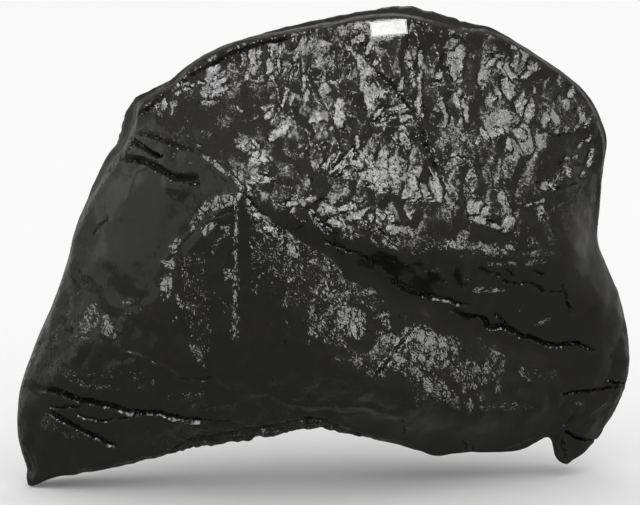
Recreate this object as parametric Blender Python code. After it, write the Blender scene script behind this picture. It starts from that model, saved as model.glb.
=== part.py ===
"""Fitted bicycle cover of thin black film, hollow and open underneath.

Two side panels meet in one seam that runs from the left bottom corner up over
the top and down to the right bottom corner. Each panel is a thin sheet pushed
out from inside, by a handlebar grip that makes a sharp point and by the frame,
pedals and wheels that make softer bulges, and drawn in again at its hem. A
small label is sewn to the near panel under the top seam.

Frame: metres, +Z up, X along the cover, -Y towards the near side. The origin
is at the underside of the top, where what is covered carries the sheet.
"""

import bpy
import numpy as np
from mathutils import Vector
from mathutils.bvhtree import BVHTree

MM = 0.001

# ---- driving dimensions, millimetres -------------------------------------
SHEET_THICKNESS = 2.0
SEAM_GAP = 0.5          # between the two panels, all along the seam
COLUMNS_PER_RIB = 2     # mesh columns from one rib to the next
ROWS = 14               # mesh rows from the seam to the hem
ROW_CROWDING = 0.45     # 0 spaces the rows evenly, 1 crowds them at the seam
POINT_RADIUS = 14.0     # how rounded the sheet is where something pushes it out
RIM_TOP = 9.0           # how far the sheet rounds out just past the seam, over the top
RIM_WHEELS = 24.0       # the same, round the wheels
RIM_REACH = 3.4         # the rounding dies away over this many rims
WHEEL_HEIGHT = -560.0   # below this height the seam runs round a wheel
CROWN_BREADTH = 2.0     # the far panel's crown is this many times as broad as it rises, and
CROWN_SHOULDER = 8.0    # this much more

LABEL_WIDTH = 86.0
LABEL_HEIGHT = 35.0
LABEL_THICKNESS = 1.0
LABEL_GAP = 0.7
LABEL_LEFT = -80.0      # x of its left edge
LABEL_TOP = -9.0        # z of its left top corner
LABEL_RISE = 0.045      # how much its top edge climbs to the right
LABEL_CELLS = (10, 5)

# ---- the ribs: each runs from a point of the seam down to a point of the hem
# crown is how far the far panel rises past the seam before it turns down, and
# far_rise is how much higher the far hem hangs than the near one
RIBS = [
    # seam_x, seam_z, seam_y, hem_x, hem_z, hem_near, hem_far, crown, far_rise
    (-846, -1016, 0, -843, -1046, -6, 6, 0, 0),        # left bottom corner
    (-866, -930, 0, -831, -1047, -25, 22, 0, 4),
    (-859, -834, 0, -799, -1029, -45, 45, 0, 8),
    (-822, -727, 0, -759, -1017, -60, 60, 0, 12),
    (-779, -631, 0, -715, -1011, -70, 70, 0, 12),       # round the left wheel
    (-748, -545, 0, -675, -1004, -75, 78, 0, 12),
    (-729, -478, 0, -635, -997, -80, 84, 3, 12),
    (-695, -407, 0, -595, -985, -85, 90, 8, 12),
    (-657, -342, -5, -559, -978, -90, 96, 18, 12),
    (-615, -288, -15, -524, -973, -95, 102, 29, 12),
    (-597, -241, -20, -493, -966, -100, 108, 36, 12),   # left shoulder
    (-588, -197, -20, -462, -958, -105, 112, 20, 12),
    (-556, -172, -15, -433, -954, -110, 116, 10, 12),
    (-510, -153, -10, -403, -948, -115, 120, 14, 12),
    (-472, -114, -5, -367, -942, -120, 124, 6, 12),
    (-416, -79, 0, -330, -934, -125, 128, 4, 12),
    (-350, -55, 0, -286, -927, -130, 132, 3, 12),
    (-262, -40, -10, -246, -918, -135, 136, 14, 12),
    (-162, -23, -15, -213, -911, -140, 138, 20, 12),     # highest point of the hem
    (-63, -5, -20, -176, -918, -140, 138, 20, 12),
    (2, -5, -30, -130, -930, -135, 134, 30, 12),        # top
    (70, -19, -30, -80, -940, -130, 130, 30, 12),
    (132, -35, -20, -28, -951, -125, 124, 26, 12),
    (201, -43, -10, 21, -966, -115, 116, 14, 12),
    (272, -77, 0, 68, -982, -105, 108, 8, 12),
    (331, -113, 0, 112, -979, -100, 102, 7, 12),
    (387, -154, 0, 152, -979, -95, 98, 8, 12),
    (427, -200, 0, 194, -982, -90, 94, 14, 12),          # right shoulder
    (450, -249, -5, 234, -983, -85, 90, 18, 12),
    (462, -297, -5, 267, -979, -80, 86, 18, 12),
    (459, -358, -5, 300, -967, -75, 80, 10, 12),
    (457, -435, 0, 324, -955, -70, 74, 3, 12),
    (454, -515, 0, 338, -962, -70, 70, 0, 26),          # drawn in above the right wheel
    (478, -580, 0, 351, -1004, -65, 66, 0, 34),
    (508, -655, 0, 375, -1020, -60, 60, 0, 26),
    (529, -744, 0, 398, -1011, -50, 50, 0, 16),         # round the right wheel
    (530, -829, 0, 421, -1000, -40, 40, 0, 10),
    (505, -906, 0, 440, -987, -30, 28, 0, 6),
    (476, -955, 0, 463, -972, -10, 10, 0, 0),          # right bottom corner
]

# ---- how far out the near panel stands, along what pushes it from inside
NEAR_DEPTHS = [
    # x, z, depth
    (-381, -353, 278),  # the grip's point
    (-253, -425, 262),  # the main bulge, from the grip to the right
    (-146, -473, 258),
    (-37, -508, 252),
    (96, -521, 236),
    (233, -520, 205),
    (372, -512, 130),
    (-252, -453, 250),  # the trough under it
    (-185, -481, 225),
    (-84, -547, 195),
    (20, -607, 165),
    (159, -696, 135),
    (299, -739, 115),
    (-307, -527, 266),  # the lower bulge, from the grip to the right wheel
    (-254, -633, 262),
    (-178, -731, 260),
    (-101, -801, 250),
    (13, -845, 225),
    (153, -872, 180),
    (299, -868, 125),
    (-533, -262, 118),  # the slope from the top seam
    (-435, -220, 120),
    (-325, -179, 100),
    (-173, -180, 115),
    (-183, -322, 200),
    (27, -183, 100),
    (15, -349, 185),
    (207, -207, 90),
    (194, -353, 165),
    (344, -254, 80),
    (361, -384, 115),
    (-631, -396, 90),   # left of the grip, down to the left wheel
    (-566, -328, 115),
    (-484, -404, 205),
    (-538, -512, 200),
    (-550, -598, 205),
    (-655, -525, 110),
    (-678, -635, 110),
    (-744, -666, 55),
    (-701, -709, 125),
    (-551, -709, 200),
    (-768, -794, 90),
    (-660, -831, 135),
    (-792, -909, 75),
    (-705, -928, 100),
    (-573, -873, 155),
    (-466, -705, 225),  # under the grip
    (-464, -851, 165),
    (-381, -594, 245),
    (-358, -754, 215),
    (-332, -879, 155),
    (-202, -844, 175),
    (440, -637, 90),    # the right wheel
    (443, -753, 85),
    (427, -873, 65),
    (358, -940, 70),
    (212, -938, 110),
    (72, -921, 135),
    (-67, -883, 165),
]

# ---- the same for the far panel, pushed out by the other grip and pedal
FAR_DEPTHS = [
    # x, z, depth
    (-372, -340, 262),  # the other grip's point
    (-240, -430, 240),
    (-90, -470, 232),
    (60, -500, 226),
    (215, -520, 200),
    (360, -515, 132),
    (-90, -600, 212),
    (110, -680, 185),
    (290, -720, 150),
    (-300, -600, 238),
    (-150, -740, 240),  # the pedal
    (40, -840, 195),
    (230, -880, 140),
    (-520, -270, 125),
    (-430, -190, 105),
    (-250, -180, 110),
    (-60, -170, 110),
    (140, -190, 100),
    (310, -260, 85),
    (-620, -400, 92),
    (-500, -430, 200),
    (-560, -600, 190),
    (-680, -620, 105),
    (-740, -740, 110),
    (-770, -850, 92),
    (-640, -860, 135),
    (-480, -780, 200),
    (-400, -880, 165),
    (-240, -880, 165),
    (450, -660, 92),
    (440, -800, 84),
    (350, -930, 80),
    (90, -920, 138),
]

# ---- the main folds: a positive height stands out, a negative one is a trough
NEAR_FOLDS = [
    # x0, z0, x1, z1, width, height
    (-381, -353, -560, -262, 34, 14),    # ridge from the grip to the left shoulder
    (-381, -385, -600, -300, 30, -10),   # trough under it
    (-381, -353, -498, -410, 30, 12),    # ridge from the grip down its left side
    (-498, -410, -552, -600, 34, 12),
    (-383, -420, -390, -770, 34, -12),   # straight down from the grip
    (-330, -380, -90, -520, 34, -10),    # right of the grip, into the trough
    (-90, -520, 130, -670, 36, -12),
    (-300, -460, -120, -760, 34, 10),    # along the lower bulge
    (-810, -830, -640, -925, 34, -10),   # low on the left wheel
    (-820, -900, -700, -960, 30, 9),
    (60, -60, 50, -240, 36, 9),          # from the top down
    (-300, -70, -330, -250, 36, -8),
    (300, -180, 210, -330, 36, 10),
    (420, -300, 330, -420, 34, -9),
    (450, -690, 340, -900, 34, -8),      # over the right wheel
]
FAR_FOLDS = [
    (-372, -340, -560, -250, 34, 12),
    (-372, -340, -520, -600, 34, 11),
    (-365, -400, -360, -780, 34, -12),
    (-320, -370, -60, -560, 34, -12),
    (-60, -560, 240, -640, 36, -11),
    (-150, -740, 60, -850, 34, 10),
    (-800, -820, -640, -900, 34, -9),
    (40, -60, 70, -260, 36, 9),
    (-260, -70, -290, -260, 36, -8),
    (430, -700, 330, -900, 34, -8),
]

RIBS = np.array(RIBS, float)
SEAM_X, SEAM_Z, SEAM_Y, HEM_X, HEM_Z, HEM_NEAR, HEM_FAR, CROWN, FAR_RISE = RIBS.T


def along(values, t):
    """A smooth curve through the ribs' values, at rib number t."""
    n = len(values)
    i = np.clip(np.floor(t).astype(int), 0, n - 2)
    f = t - i
    before = values[np.clip(i - 1, 0, n - 1)]
    a, b = values[i], values[i + 1]
    after = values[np.clip(i + 2, 0, n - 1)]
    m0, m1 = (b - before) / 2, (after - a) / 2
    return (
        (2 * f**3 - 3 * f**2 + 1) * a
        + (f**3 - 2 * f**2 + f) * m0
        + (3 * f**2 - 2 * f**3) * b
        + (f**3 - f**2) * m1
    )


def tented(depths, side):
    """The sheet's distance from the middle plane, stretched over its points, the seam and the hem."""
    hem_y = HEM_NEAR if side < 0 else HEM_FAR
    rise = 0.0 if side < 0 else FAR_RISE
    x, z, depth = np.array(depths, float).T
    at = np.concatenate(
        [
            np.column_stack([x, z]),
            np.column_stack([SEAM_X, SEAM_Z]),
            np.column_stack([HEM_X, HEM_Z + rise])[1:-1],
        ]
    )
    out = np.concatenate([depth, side * SEAM_Y, (side * hem_y)[1:-1]])

    def basis(px, pz):
        d2 = (px[..., None] - at[:, 0]) ** 2 + (pz[..., None] - at[:, 1]) ** 2
        plane = np.stack([np.ones_like(px), px / 1000, pz / 1000], axis=-1)
        return np.concatenate([np.sqrt(d2 + POINT_RADIUS**2) / 1000, plane], axis=-1)

    near = basis(at[:, 0], at[:, 1])
    n = len(at)
    system = np.zeros((n + 3, n + 3))
    system[:n] = near
    system[n:, :n] = near[:, n:].T
    weights = np.linalg.solve(system, np.concatenate([out, np.zeros(3)]))
    return lambda px, pz: basis(px, pz) @ weights


def folds_at(folds, x, z):
    """The folds' heights added up at (x, z): soft ridges and troughs that die away at their ends."""
    total = np.zeros_like(x)
    for x0, z0, x1, z1, width, height in folds:
        dx, dz = x1 - x0, z1 - z0
        length = np.hypot(dx, dz)
        s = ((x - x0) * dx + (z - z0) * dz) / length
        across = ((x - x0) * dz - (z - z0) * dx) / length
        ends = np.clip(s / (0.25 * length) + 0.15, 0, 1) * np.clip(
            (length - s) / (0.35 * length), 0, 1
        )
        ends = ends * ends * (3 - 2 * ends)
        total += height * ends * np.exp(-((across / width) ** 2))
    return total


def outward(t):
    """Unit direction away from the cover at rib number t of the seam, in the plane of the seam."""
    dx = along(SEAM_X, t + 0.05) - along(SEAM_X, t - 0.05)
    dz = along(SEAM_Z, t + 0.05) - along(SEAM_Z, t - 0.05)
    size = np.hypot(dx, dz)
    return -dz / size, dx / size


def sheet_point(side, tent, folds, u, t):
    """The middle of the sheet's thickness at row u (0 seam, 1 hem) and rib number t, in mm."""
    sx, sz, sy = along(SEAM_X, t), along(SEAM_Z, t), along(SEAM_Y, t)
    hx, hz = along(HEM_X, t), along(HEM_Z, t)
    if side > 0:
        hz = hz + along(FAR_RISE, t)
    w = (1 - ROW_CROWDING) * u + ROW_CROWDING * u * u
    length = np.hypot(hx - sx, hz - sz)
    s = w * length
    crown = np.maximum(along(CROWN, t), 0) if side > 0 else np.zeros_like(t)
    breadth = CROWN_BREADTH * crown + CROWN_SHOULDER * np.clip(crown / 6, 0, 1)
    # Over the crown the far panel runs back before it turns down.
    down = np.sqrt(np.maximum(s - breadth, 0) ** 2 + (0.1 * s) ** 2)
    down = np.where(crown > 0, down * length / np.maximum(np.sqrt((length - breadth) ** 2 + (0.1 * length) ** 2), 1), s)
    x = sx + (hx - sx) * down / length
    z = sz + (hz - sz) * down / length
    low = np.clip((WHEEL_HEIGHT + 60 - sz) / 120, 0, 1)
    rim = RIM_TOP + (RIM_WHEELS - RIM_TOP) * low
    rim = np.minimum(rim, 0.25 * length)
    near = np.clip(s / rim, 0, 1)
    rounding = rim * np.sqrt(1 - (1 - near) ** 2) * np.exp(-((s / (rim * RIM_REACH)) ** 2))
    inside = np.clip(s / 60, 0, 1) * np.clip((length - s) / 60, 0, 1)
    y = side * (tent(x, z) + rounding + inside * folds_at(folds, x, z))
    y = np.where(u == 0, sy + side * SEAM_GAP / 2, y)
    if side > 0:
        nx, nz = outward(t)
        over = np.clip(s / np.maximum(2 * breadth, 1), 0, 1)
        lift = crown * np.sin(np.pi * over)
        x, z = x + lift * nx, z + lift * nz
        back = breadth * (1 - np.exp(-2 * over)) * np.exp(-((s / (0.28 * length)) ** 2))
        y = y + np.where(u == 0, 0, back)
    return np.stack([x, y, z], axis=-1)


def mesh_object(name, points_mm, faces, rgb, roughness):
    mesh = bpy.data.meshes.new(name)
    mesh.from_pydata([tuple(p * MM) for p in points_mm], [], faces)
    mesh.update()
    mesh.shade_smooth()
    mesh.set_sharp_from_angle(angle=0.7)
    obj = bpy.data.objects.new(name, mesh)
    bpy.context.scene.collection.objects.link(obj)
    material = bpy.data.materials.new(name + "_finish")
    material.use_nodes = True
    shader = material.node_tree.nodes["Principled BSDF"]
    shader.inputs["Base Color"].default_value = (*rgb, 1)
    shader.inputs["Roughness"].default_value = roughness
    shader.inputs["Metallic"].default_value = 0.0
    mesh.materials.append(material)
    return obj


def slab(outer, inner, turned):
    """Points and faces of a closed slab between two grids of the same size."""
    rows, columns = outer.shape[:2]
    points = np.concatenate([outer.reshape(-1, 3), inner.reshape(-1, 3)])
    count = rows * columns

    def at(i, j, layer=0):
        return layer * count + i * columns + j

    faces = []

    def quad(a, b, c, d):
        faces.append((a, b, c))
        faces.append((a, c, d))

    for i in range(rows - 1):
        for j in range(columns - 1):
            quad(at(i, j), at(i + 1, j), at(i + 1, j + 1), at(i, j + 1))
            quad(at(i, j, 1), at(i, j + 1, 1), at(i + 1, j + 1, 1), at(i + 1, j, 1))
    for j in range(columns - 1):
        quad(at(0, j), at(0, j + 1), at(0, j + 1, 1), at(0, j, 1))
        quad(at(rows - 1, j, 1), at(rows - 1, j + 1, 1), at(rows - 1, j + 1), at(rows - 1, j))
    for i in range(rows - 1):
        quad(at(i, 0, 1), at(i + 1, 0, 1), at(i + 1, 0), at(i, 0))
        quad(at(i, columns - 1), at(i + 1, columns - 1), at(i + 1, columns - 1, 1), at(i, columns - 1, 1))
    if turned:
        faces = [face[::-1] for face in faces]
    return points, faces


def normals_of(grid, side):
    du = np.gradient(grid, axis=0)
    dv = np.gradient(grid, axis=1)
    n = np.cross(du, dv)
    n /= np.maximum(np.linalg.norm(n, axis=-1, keepdims=True), 1e-9)
    facing = np.sign(np.median(n[..., 1])) or 1.0
    return n * facing * side


def panel(name, side, depths, folds):
    """One side panel as a closed thin sheet, and its outer grid in mm."""
    t = np.linspace(0, len(RIBS) - 1, COLUMNS_PER_RIB * (len(RIBS) - 1) + 1)
    u = np.linspace(0, 1, ROWS + 1)
    tt, uu = np.meshgrid(t, u)
    middle = sheet_point(side, tented(depths, side), folds, uu, tt)
    normal = normals_of(middle, side)
    # At the seam the sheet's edge stands square to the middle plane, so that
    # the two panels' edges face each other across the gap.
    nx, nz = outward(t)
    normal[0] = np.stack([nx, np.zeros_like(nx), nz], axis=-1)
    half = SHEET_THICKNESS / 2
    outer, inner = middle + half * normal, middle - half * normal
    points, faces = slab(outer, inner, turned=side > 0)
    obj = mesh_object(name, points, faces, (0.016, 0.015, 0.013), 0.28)
    return obj, outer, middle


def label(near):
    """The label, lying on the outer face of the near panel."""
    mesh = near.data
    tree = BVHTree.FromPolygons(
        [v.co.copy() for v in mesh.vertices], [tuple(p.vertices) for p in mesh.polygons]
    )
    columns, rows = LABEL_CELLS
    i, j = np.meshgrid(np.linspace(0, 1, rows + 1), np.linspace(0, 1, columns + 1), indexing="ij")
    x = LABEL_LEFT + LABEL_WIDTH * j + LABEL_RISE * LABEL_HEIGHT * i
    z = LABEL_TOP + LABEL_RISE * LABEL_WIDTH * j - LABEL_HEIGHT * i
    inner = np.zeros((*x.shape, 3))
    outer = np.zeros((*x.shape, 3))
    for a in range(rows + 1):
        for b in range(columns + 1):
            start = Vector((x[a, b] * MM, -1.0, z[a, b] * MM))
            hit, normal, _, _ = tree.ray_cast(start, Vector((0, 1, 0)))
            if normal.y > 0:
                normal = -normal
            inner[a, b] = np.array(hit + normal * LABEL_GAP * MM) / MM
            outer[a, b] = np.array(hit + normal * (LABEL_GAP + LABEL_THICKNESS) * MM) / MM
    points, faces = slab(outer, inner, turned=False)
    return mesh_object("label", points, faces, (0.75, 0.76, 0.75), 0.55)


def main():
    for obj in list(bpy.data.objects):
        bpy.data.objects.remove(obj)
    near, _, _ = panel("near_panel", -1, NEAR_DEPTHS, NEAR_FOLDS)
    far, _, _ = panel("far_panel", 1, FAR_DEPTHS, FAR_FOLDS)
    tag = label(near)
    cover = bpy.data.objects.new("cover", None)
    bpy.context.scene.collection.objects.link(cover)
    for piece in (near, far, tag):
        piece.parent = cover


main()
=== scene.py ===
import math

import bmesh
import bpy
import numpy as np
from mathutils import Matrix, Vector
from mathutils.bvhtree import BVHTree
from mathutils.geometry import delaunay_2d_cdt


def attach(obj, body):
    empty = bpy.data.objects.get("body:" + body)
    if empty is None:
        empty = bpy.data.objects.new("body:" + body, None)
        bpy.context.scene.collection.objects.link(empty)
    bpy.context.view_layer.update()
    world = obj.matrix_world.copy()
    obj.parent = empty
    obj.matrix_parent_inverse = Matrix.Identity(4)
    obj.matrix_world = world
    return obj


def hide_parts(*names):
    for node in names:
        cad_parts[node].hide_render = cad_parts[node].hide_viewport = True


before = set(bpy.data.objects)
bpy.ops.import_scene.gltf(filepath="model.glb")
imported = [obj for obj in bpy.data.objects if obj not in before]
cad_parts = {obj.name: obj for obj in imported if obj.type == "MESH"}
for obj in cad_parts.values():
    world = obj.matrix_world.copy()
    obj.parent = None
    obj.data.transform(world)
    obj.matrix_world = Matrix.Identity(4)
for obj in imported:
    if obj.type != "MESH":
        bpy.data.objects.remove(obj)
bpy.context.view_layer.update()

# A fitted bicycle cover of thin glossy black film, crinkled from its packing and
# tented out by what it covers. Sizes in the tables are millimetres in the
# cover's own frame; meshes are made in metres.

MM = 0.001

# ---------------------------------------------------------------- the ribs
# Each rib runs from a point of the seam down to a point of the hem.
RIBS = np.array([
    # seam_x, seam_z, seam_y, hem_x, hem_z, hem_near, hem_far, crown, far_rise
    (-846, -1016, 0, -843, -1046, -6, 6, 0, 0),
    (-866, -930, 0, -831, -1047, -25, 22, 0, 4),
    (-859, -834, 0, -799, -1029, -45, 45, 0, 8),
    (-822, -727, 0, -759, -1017, -60, 60, 0, 12),
    (-779, -631, 0, -715, -1011, -70, 70, 0, 12),
    (-748, -545, 0, -675, -1004, -75, 78, 0, 12),
    (-729, -478, 0, -635, -997, -80, 84, 3, 12),
    (-695, -407, 0, -595, -985, -85, 90, 8, 12),
    (-657, -342, -5, -559, -978, -90, 96, 18, 12),
    (-615, -288, -15, -524, -973, -95, 102, 29, 12),
    (-597, -241, -20, -493, -966, -100, 108, 36, 12),
    (-588, -197, -20, -462, -958, -105, 112, 20, 12),
    (-556, -172, -15, -433, -954, -110, 116, 10, 12),
    (-510, -153, -10, -403, -948, -115, 120, 14, 12),
    (-472, -114, -5, -367, -942, -120, 124, 6, 12),
    (-416, -79, 0, -330, -934, -125, 128, 4, 12),
    (-350, -55, 0, -286, -927, -130, 132, 3, 12),
    (-262, -40, -10, -246, -918, -135, 136, 14, 12),
    (-162, -23, -15, -213, -911, -140, 138, 20, 12),
    (-63, -5, -20, -176, -918, -140, 138, 20, 12),
    (2, -5, -30, -130, -930, -135, 134, 30, 12),
    (70, -19, -30, -80, -940, -130, 130, 30, 12),
    (132, -35, -20, -28, -951, -125, 124, 26, 12),
    (201, -43, -10, 21, -966, -115, 116, 14, 12),
    (272, -77, 0, 68, -982, -105, 108, 8, 12),
    (331, -113, 0, 112, -979, -100, 102, 7, 12),
    (387, -154, 0, 152, -979, -95, 98, 8, 12),
    (427, -200, 0, 194, -982, -90, 94, 14, 12),
    (450, -249, -5, 234, -983, -85, 90, 18, 12),
    (462, -297, -5, 267, -979, -80, 86, 18, 12),
    (459, -358, -5, 300, -967, -75, 80, 10, 12),
    (457, -435, 0, 324, -955, -70, 74, 3, 12),
    (454, -515, 0, 338, -962, -70, 70, 0, 26),
    (478, -580, 0, 351, -1004, -65, 66, 0, 34),
    (508, -655, 0, 375, -1020, -60, 60, 0, 26),
    (529, -744, 0, 398, -1011, -50, 50, 0, 16),
    (530, -829, 0, 421, -1000, -40, 40, 0, 10),
    (505, -906, 0, 440, -987, -30, 28, 0, 6),
    (476, -955, 0, 463, -972, -10, 10, 0, 0),
], float)
SEAM_X, SEAM_Z, SEAM_Y, HEM_X, HEM_Z, HEM_NEAR, HEM_FAR, CROWN, FAR_RISE = RIBS.T

NEAR_DEPTHS = [
    # x, z, depth
    (-381, -353, 278),
    (-253, -425, 262), (-146, -473, 258), (-37, -508, 252), (96, -521, 236), (233, -520, 205), (372, -512, 130),
    (-252, -453, 250), (-185, -481, 225), (-84, -547, 195), (20, -607, 165), (159, -696, 135), (299, -739, 115),
    (-307, -527, 266), (-254, -633, 262), (-178, -731, 260), (-101, -801, 250), (13, -845, 225), (153, -872, 180), (299, -868, 125),
    (-533, -262, 118), (-435, -220, 120), (-325, -179, 100), (-173, -180, 115), (-183, -322, 200), (27, -183, 100),
    (15, -349, 185), (207, -207, 90), (194, -353, 165), (344, -254, 80), (361, -384, 115),
    (-631, -396, 90), (-566, -328, 115), (-484, -404, 205), (-538, -512, 200), (-550, -598, 205), (-655, -525, 110),
    (-678, -635, 110), (-744, -666, 55), (-701, -709, 125), (-551, -709, 200), (-768, -794, 90), (-660, -831, 135),
    (-792, -909, 75), (-705, -928, 100), (-573, -873, 155),
    (-466, -705, 225), (-464, -851, 165), (-381, -594, 245), (-358, -754, 215), (-332, -879, 155), (-202, -844, 175),
    (440, -637, 90), (443, -753, 85), (427, -873, 65), (358, -940, 70), (212, -938, 110), (72, -921, 135), (-67, -883, 165),
]
FAR_DEPTHS = [
    (-372, -340, 262), (-240, -430, 240), (-90, -470, 232), (60, -500, 226), (215, -520, 200), (360, -515, 132),
    (-90, -600, 212), (110, -680, 185), (290, -720, 150), (-300, -600, 238), (-150, -740, 240), (40, -840, 195),
    (230, -880, 140), (-520, -270, 125), (-430, -190, 105), (-250, -180, 110), (-60, -170, 110), (140, -190, 100),
    (310, -260, 85), (-620, -400, 92), (-500, -430, 200), (-560, -600, 190), (-680, -620, 105), (-740, -740, 110),
    (-770, -850, 92), (-640, -860, 135), (-480, -780, 200), (-400, -880, 165), (-240, -880, 165), (450, -660, 92),
    (440, -800, 84), (350, -930, 80), (90, -920, 138),
]
POINT_RADIUS = 14.0
RIM_TOP, RIM_WHEELS, RIM_REACH, WHEEL_HEIGHT = 9.0, 24.0, 3.4, -560.0
CROWN_BREADTH, CROWN_SHOULDER = 2.0, 8.0
SEAM_GAP = 0.0
SPACING = 3.4


# ---------------------------------------------------------------- noise of flat facets
def hashed(i, j, seed):
    """A repeatable value from -1 to 1 at each lattice point."""
    h = (i.astype(np.int64) * 374761393 + j.astype(np.int64) * 668265263 + seed * 1442695041) & 0xFFFFFFFF
    h = ((h ^ (h >> 13)) * 1274126177) & 0xFFFFFFFF
    h = ((h ^ (h >> 16)) * 2246822519) & 0xFFFFFFFF
    h = h ^ (h >> 15)
    return (h & 0xFFFFFF) / float(0x7FFFFF) - 1.0


def facets(x, z, size, seed, angle=0.0, stretch=1.0):
    """Flat triangular facets about `size` across, `stretch` times longer along `angle`, -1 to 1 high."""
    c, s = math.cos(angle), math.sin(angle)
    a = (x * c + z * s) / (size * stretch)
    b = (-x * s + z * c) / size
    k = (a + b) * 0.3660254
    u, v = a + k, b + k
    i, j = np.floor(u), np.floor(v)
    fu, fv = u - i, v - j
    i, j = i.astype(int), j.astype(int)
    low = hashed(i, j, seed)
    high = hashed(i + 1, j + 1, seed)
    right = hashed(i + 1, j, seed)
    up = hashed(i, j + 1, seed)
    return np.where(
        fu > fv,
        (1 - fu) * low + (fu - fv) * right + fv * high,
        (1 - fv) * low + (fv - fu) * up + fu * high,
    )


def smooth(x, z, size, seed):
    """Soft noise, -1 to 1."""
    a, b = x / size, z / size
    i, j = np.floor(a), np.floor(b)
    fa, fb = a - i, b - j
    i, j = i.astype(int), j.astype(int)
    fa, fb = fa * fa * (3 - 2 * fa), fb * fb * (3 - 2 * fb)
    return (
        hashed(i, j, seed) * (1 - fa) * (1 - fb)
        + hashed(i + 1, j, seed) * fa * (1 - fb)
        + hashed(i, j + 1, seed) * (1 - fa) * fb
        + hashed(i + 1, j + 1, seed) * fa * fb
    )


def ramp(value, low, high):
    f = np.clip((value - low) / (high - low), 0, 1)
    return f * f * (3 - 2 * f)


def blob(x, z, cx, cz, rx, rz, angle=0.0):
    """1 in the middle of an ellipse, 0 outside it."""
    c, s = math.cos(angle), math.sin(angle)
    a = ((x - cx) * c + (z - cz) * s) / rx
    b = (-(x - cx) * s + (z - cz) * c) / rz
    return 1 - ramp(np.hypot(a, b), 0.45, 1.0)


# ---------------------------------------------------------------- the tented sheet
def along(values, t):
    n = len(values)
    i = np.clip(np.floor(t).astype(int), 0, n - 2)
    f = t - i
    before = values[np.clip(i - 1, 0, n - 1)]
    a, b = values[i], values[i + 1]
    after = values[np.clip(i + 2, 0, n - 1)]
    m0, m1 = (b - before) / 2, (after - a) / 2
    return (
        (2 * f**3 - 3 * f**2 + 1) * a
        + (f**3 - 2 * f**2 + f) * m0
        + (3 * f**2 - 2 * f**3) * b
        + (f**3 - f**2) * m1
    )


def tented(depths, side):
    hem_y = HEM_NEAR if side < 0 else HEM_FAR
    rise = 0.0 if side < 0 else FAR_RISE
    x, z, depth = np.array(depths, float).T
    at = np.concatenate([
        np.column_stack([x, z]),
        np.column_stack([SEAM_X, SEAM_Z]),
        np.column_stack([HEM_X, HEM_Z + rise])[1:-1],
    ])
    out = np.concatenate([depth, side * SEAM_Y, (side * hem_y)[1:-1]])

    def basis(px, pz):
        d2 = (px[..., None] - at[:, 0]) ** 2 + (pz[..., None] - at[:, 1]) ** 2
        plane = np.stack([np.ones_like(px), px / 1000, pz / 1000], axis=-1)
        return np.concatenate([np.sqrt(d2 + POINT_RADIUS**2) / 1000, plane], axis=-1)

    near = basis(at[:, 0], at[:, 1])
    n = len(at)
    system = np.zeros((n + 3, n + 3))
    system[:n] = near
    system[n:, :n] = near[:, n:].T
    weights = np.linalg.solve(system, np.concatenate([out, np.zeros(3)]))
    return lambda px, pz: basis(px, pz) @ weights


def evenly(points, spacing):
    """A polyline's points put at even distances."""
    step = np.linalg.norm(np.diff(points, axis=0), axis=1)
    at = np.concatenate([[0], np.cumsum(step)])
    count = max(2, int(round(at[-1] / spacing)))
    want = np.linspace(0, at[-1], count + 1)
    return np.column_stack([np.interp(want, at, points[:, k]) for k in range(points.shape[1])])


def to_line(x, z, line):
    """Distance to a polyline, and where along it (in its own rows) the nearest point is."""
    best = np.full(x.shape, 1e18)
    where = np.zeros(x.shape)
    a, b = line[:-1, :2], line[1:, :2]
    d = b - a
    size = (d**2).sum(1)
    for k in range(0, len(a), 24):
        aa, dd, ss = a[k : k + 24], d[k : k + 24], size[k : k + 24]
        f = np.clip(((x[:, None] - aa[:, 0]) * dd[:, 0] + (z[:, None] - aa[:, 1]) * dd[:, 1]) / ss, 0, 1)
        gap = (x[:, None] - aa[:, 0] - f * dd[:, 0]) ** 2 + (z[:, None] - aa[:, 1] - f * dd[:, 1]) ** 2
        m = gap.argmin(1)
        rows = np.arange(len(x))
        less = gap[rows, m] < best
        best = np.where(less, gap[rows, m], best)
        where = np.where(less, k + m + f[rows, m], where)
    return np.sqrt(best), where


def curve(points, per=8):
    """A smooth line through a few points."""
    p = np.array(points, float)
    t = np.linspace(0, len(p) - 1, per * (len(p) - 1) + 1)
    return np.column_stack([along(p[:, k], t) for k in range(p.shape[1])])


def crease(x, z, points, left, right, height):
    """A ridge, or a trough where height is negative: a tent in section, `left` wide on the left
    of the line's direction and `right` wide on its right. It dies away at both ends."""
    line = curve(points)
    reach = max(left, right)
    lo, hi = line.min(0) - reach, line.max(0) + reach
    near = (x > lo[0]) & (x < hi[0]) & (z > lo[1]) & (z < hi[1])
    out = np.zeros_like(x)
    if not near.any():
        return out
    px, pz = x[near], z[near]
    px = px + 1.7 * facets(px, pz, 14, 201) + 1.0 * facets(px, pz, 7, 202)
    pz = pz + 1.7 * facets(px, pz, 14, 203) + 1.0 * facets(px, pz, 7, 204)
    gap, where = to_line(px, pz, line)
    i = np.clip(where.astype(int), 0, len(line) - 2)
    d = line[i + 1] - line[i]
    turn = d[:, 0] * (pz - line[i, 1]) - d[:, 1] * (px - line[i, 0])
    width = np.where(turn >= 0, left, right)
    f = where / (len(line) - 1)
    out[near] = height * np.clip(1 - gap / width, 0, 1) * ramp(f, -0.02, 0.10) * (1 - ramp(f, 0.85, 1.02))
    return out


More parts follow.
